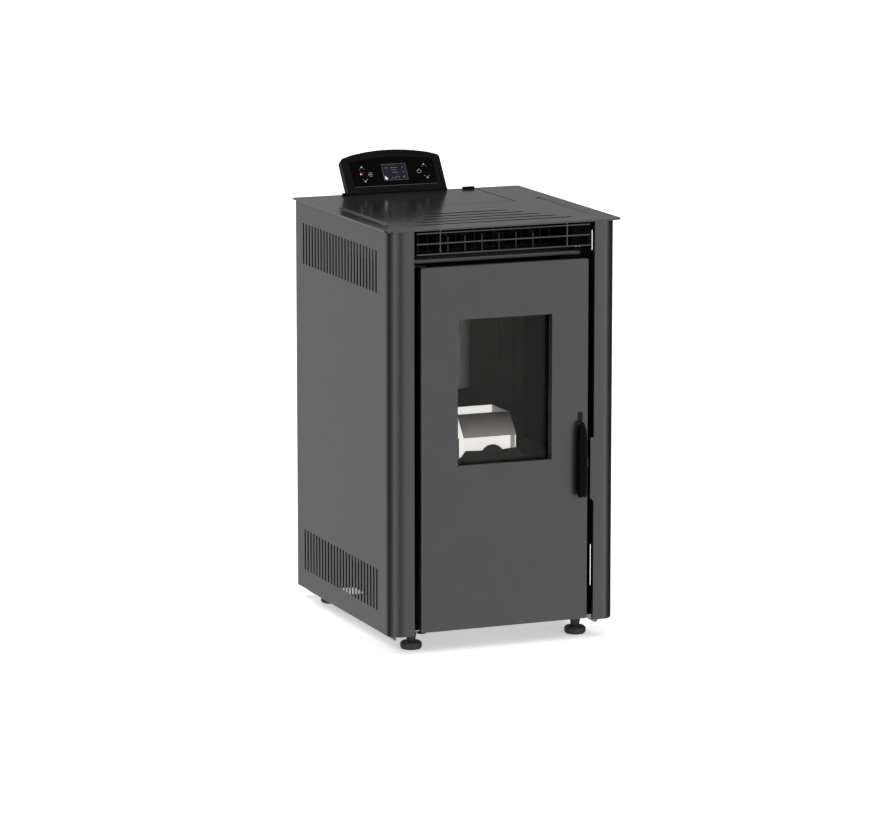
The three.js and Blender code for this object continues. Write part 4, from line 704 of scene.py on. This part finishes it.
def display_marks():
    half_x, half_z = SCREEN_HALF
    inset, line = 0.6, 0.45
    left, low = -half_x + inset, -half_z + inset
    width, height = 2 * (half_x - inset), 2 * (half_z - inset)
    outlines = [
        bar(left, half_z - 1, width, line), bar(left, low, width, line),
        bar(left, low, line, height), bar(half_x - 1, low, line, height),
    ]
    for row, widths in enumerate([(3, 2, 3, 2), (2, 3, 2), (4, 2, 3)]):
        x = -6.5 + row * 0.8
        for dash in widths:
            outlines.append(bar(x, 8.6 - row * 5.2, dash, 1.5))
            x += dash + 1.1
    for z in (10, -0.5):
        outlines += [bar(16.5, z, 3.2, 0.8), bar(17.2, z - 1.7, 1.8, 0.8)]
    outlines += [bar(-19.5, 9, 2, 1.2), bar(-16.5, 9, 3, 1.2)]
    outlines += [
        bar(-7.5, -13.5, 1, 3.4), bar(-4.5, -13.5, 3.4, 1), bar(-0.2, -13.5, 1, 3.4),
        bar(2.2, -11, 3.2, 1), bar(6.6, -13.5, 1, 3.4),
    ]
    blade = [(0, 0), (1.6, 1), (2.6, 3), (0.6, 2.6)]
    for turn in range(3):
        outlines.append(moved(blade, 17.5, -11, 1.0, turn * 2 * math.pi / 3))
    return outlines


def flame_mark():
    flame = [
        (-1.6, -4), (1.4, -4.2), (2.9, -2.4), (2.4, 0), (0.9, 1.6), (0.4, 4.6),
        (-1.5, 2.6), (-2.6, 0.2), (-2.8, -2.4),
    ]
    return [moved(flame, -20.6, -12, 1.0, 0.25)]


def add_console_print():
    half_x, half_z = SCREEN_HALF
    plate_back = FASCIA_FACE - PRINT_GAP
    on_plate = FACEPLATE_FACE - PRINT_GAP
    on_screen = SCREEN_FACE - PRINT_GAP
    edge = bar(FACEPLATE_LEFT + 1, FACEPLATE_LOW - 1.1, FACEPLATE_RIGHT - FACEPLATE_LEFT - 2, 0.9)
    screen = bar(-half_x, -half_z, 2 * half_x, 2 * half_z)
    lamp_x, lamp_z = LAMP
    lamp = moved(polygon(14, 1.5), lamp_x, lamp_z)
    glow_disc = moved(polygon(18, 4.4), lamp_x + 1.8, lamp_z + 1.4)
    flat_piece("console_faceplate", [faceplate_outline()], FACEPLATE, FACEPLATE_FACE, plate_back)
    # thin grey strip under the faceplate as a painted highlight of its edge
    flat_piece("console_faceplate_edge_highlight", [edge], PAINTED_EDGE_HIGHLIGHT, FACEPLATE_FACE, plate_back)
    flat_piece("console_screen", [screen], FINISHES["display_glass"], SCREEN_FACE, on_plate)
    for name, outlines, finish, back in (
        ("console_key_print", key_marks(), PRINT_WHITE, on_plate),
        ("console_screen_marks", display_marks(), PRINT_DIM, on_screen),
        ("console_flame_mark", flame_mark(), PRINT_BRIGHT, on_screen),
    ):
        flat_piece(name, outlines, finish, back - PRINT_THICKNESS, back)
    flat_piece("console_lamp", [lamp], SIGNAL_RED, FACEPLATE_FACE - 0.5, on_plate)
    # painted glow of the lamp on the faceplate
    flat_piece("console_lamp_glow", [glow_disc], PAINTED_LAMP_GLOW, FACEPLATE_FACE - 0.08, on_plate)


# ---------- door seal ----------
SEAL_BEND = 14  # bend of the rope's centre line at the frame's corners
BRAID_PITCH = 7
BRAID_STRANDS = 3
ROPE_SIDES = 18
ROPE_STEP = 1.8


def seal_route(half_width, low, high, step):
    """Points and inward directions along a rounded rectangle, in millimetres across and up."""
    route = []
    corners = [
        (half_width, high, 0), (-half_width, high, 90), (-half_width, low, 180), (half_width, low, 270),
    ]
    for x, z, start in corners:
        centre_x = x - math.copysign(SEAL_BEND, x)
        centre_z = z - math.copysign(SEAL_BEND, z - (low + high) / 2)
        bends = max(2, round(SEAL_BEND * math.pi / 2 / step))
        for i in range(bends + 1):
            angle = math.radians(start + 90 * i / bends)
            out = Vector((math.cos(angle), 0, math.sin(angle)))
            route.append((Vector((centre_x, 0, centre_z)) + SEAL_BEND * out, out))
    dense = []
    for (a, out_a), (b, out_b) in zip(route, route[1:] + route[:1]):
        pieces = max(1, round((b - a).length / step))
        dense += [(a.lerp(b, i / pieces), out_a.lerp(out_b, i / pieces).normalized()) for i in range(pieces)]
    return dense


def add_door_seal():
    """A braided rope laid round the door casting's rim."""
    (x0, y0, z0), (x1, y1, z1) = corners_mm("door_seal")
    radius = (y1 - y0) / 2
    route = seal_route((x1 - x0) / 2 - radius, z0 + radius, z1 - radius, ROPE_STEP)
    length = sum((a[0] - b[0]).length for a, b in zip(route, route[1:] + route[:1]))
    wave = math.pi * round(length / BRAID_PITCH) / length
    middle = Vector((0, (y0 + y1) / 2, 0))
    work = bmesh.new()
    loops = []
    along = 0.0
    for i, (point, out) in enumerate(route):
        loop = []
        for j in range(ROPE_SIDES):
            angle = 2 * math.pi * j / ROPE_SIDES
            turn, advance = BRAID_STRANDS * angle, wave * along
            weave = math.sin(turn + advance) * math.sin(turn - advance)
            reach = radius * (0.9 + 0.09 * abs(weave))
            direction = math.cos(angle) * out + math.sin(angle) * Vector((0, 1, 0))
            loop.append(work.verts.new((point + middle + reach * direction) * MM))
        loops.append(loop)
        along += (route[(i + 1) % len(route)][0] - point).length
    for first, second in zip(loops, loops[1:] + loops[:1]):
        for j in range(ROPE_SIDES):
            k = (j + 1) % ROPE_SIDES
            work.faces.new((first[j], first[k], second[k], second[j]))
    bmesh.ops.recalc_face_normals(work, faces=work.faces)
    mesh = finished_mesh("door_seal_rope", work)
    smooth(mesh)
    piece = add_object("door_seal_rope", mesh, "door_seal")
    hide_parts("door_seal")


# ---------- fasteners ----------
SCREW_CORNERS = 24
REAR_SCREW_RADIUS = 4.2
REAR_SCREW_ROWS = 6
RETAINER_SCREW_RADIUS = 3
RETAINER_MIDDLE = 4.5  # edge of the glass retainer to the middle of its strip


def screw_mesh(name, spots, radius):
    """Pan-head screws with a cross recess, one at each spot, in one mesh. The heads look to the back."""
    turn = Vector((0, 0, 1)).rotation_difference(Vector((0, 1, 0))).to_matrix().to_4x4()
    around = SCREW_CORNERS
    recess = [0.2 + 0.36 * abs(math.cos(4 * math.pi * i / around)) ** 3 for i in range(around)]
    rings = [
        ([1.0] * around, 0.0), ([1.0] * around, 0.22), ([0.9] * around, 0.42), ([0.72] * around, 0.54),
        (recess, 0.58), ([0.9 * r for r in recess], 0.2),
    ]
    work = bmesh.new()
    for spot in spots:
        loops = []
        for shares, height in rings:
            loop = []
            for i, share in enumerate(shares):
                angle = 2 * math.pi * i / around
                local = Vector((share * math.cos(angle), share * math.sin(angle), height)) * radius * MM
                loop.append(work.verts.new(turn @ local + Vector(spot) * MM))
            loops.append(loop)
        for lower, upper in zip(loops, loops[1:]):
            for i in range(around):
                j = (i + 1) % around
                work.faces.new((lower[i], lower[j], upper[j], upper[i]))
        work.faces.new(loops[-1])
        work.faces.new(loops[0][::-1])
    mesh = finished_mesh(name, work)
    smooth(mesh)
    mesh.set_sharp_from_angle(angle=math.radians(40))
    return mesh


def add_screws(name, node, spots, radius, finish):
    add_object(name, screw_mesh(name, spots, radius), node, finish, "bare_steel")


def add_fasteners():
    (x0, _, z0), (x1, face, z1) = corners_mm("rear_cover")
    pitch = (z1 - z0 - 2 * 28) / (REAR_SCREW_ROWS - 1)
    rows = [z0 + 28 + i * pitch for i in range(REAR_SCREW_ROWS)]
    spots = [(x, face, z) for z in rows for x in (x0 + 9, x1 - 9)]
    spots += [(x, face, z1 - 12) for x in (-95, 0, 95)]
    add_screws("rear_cover_screws", "rear_cover", spots, REAR_SCREW_RADIUS, DARK_SCREW)
    (x0, _, z0), (x1, face, z1) = corners_mm("glass_retainer")
    sides = (x0 + RETAINER_MIDDLE, x1 - RETAINER_MIDDLE)
    ends = (z0 + RETAINER_MIDDLE, z1 - RETAINER_MIDDLE)
    spots = [(x, face, z) for x in sides for z in (z0 + 40, (z0 + z1) / 2, z1 - 40)]
    spots += [(x, face, z) for x in (-55, 55) for z in ends]
    add_screws("glass_retainer_screws", "glass_retainer", spots, RETAINER_SCREW_RADIUS, ZINC_SCREW)


def main():
    add_camera()
    add_world()
    add_floor()
    skins = {}
    for node in SLOT_OF:
        if node != "door_seal":
            skins[node] = dress(node, ROUNDING.get(node, DEFAULT_ROUNDING), OWN_FINISH.get(node))
    paint_top(skins["top_plate"], skins["hopper_lid"])
    paint_pot(skins["burn_pot"])
    paint_duct(skins["warm_air_duct"])
    add_duct_flanges()
    add_lid_slit_shade()
    add_door_seal()
    add_console_print()
    add_fasteners()


bpy.context.scene.view_settings.view_transform = "Standard"
main()
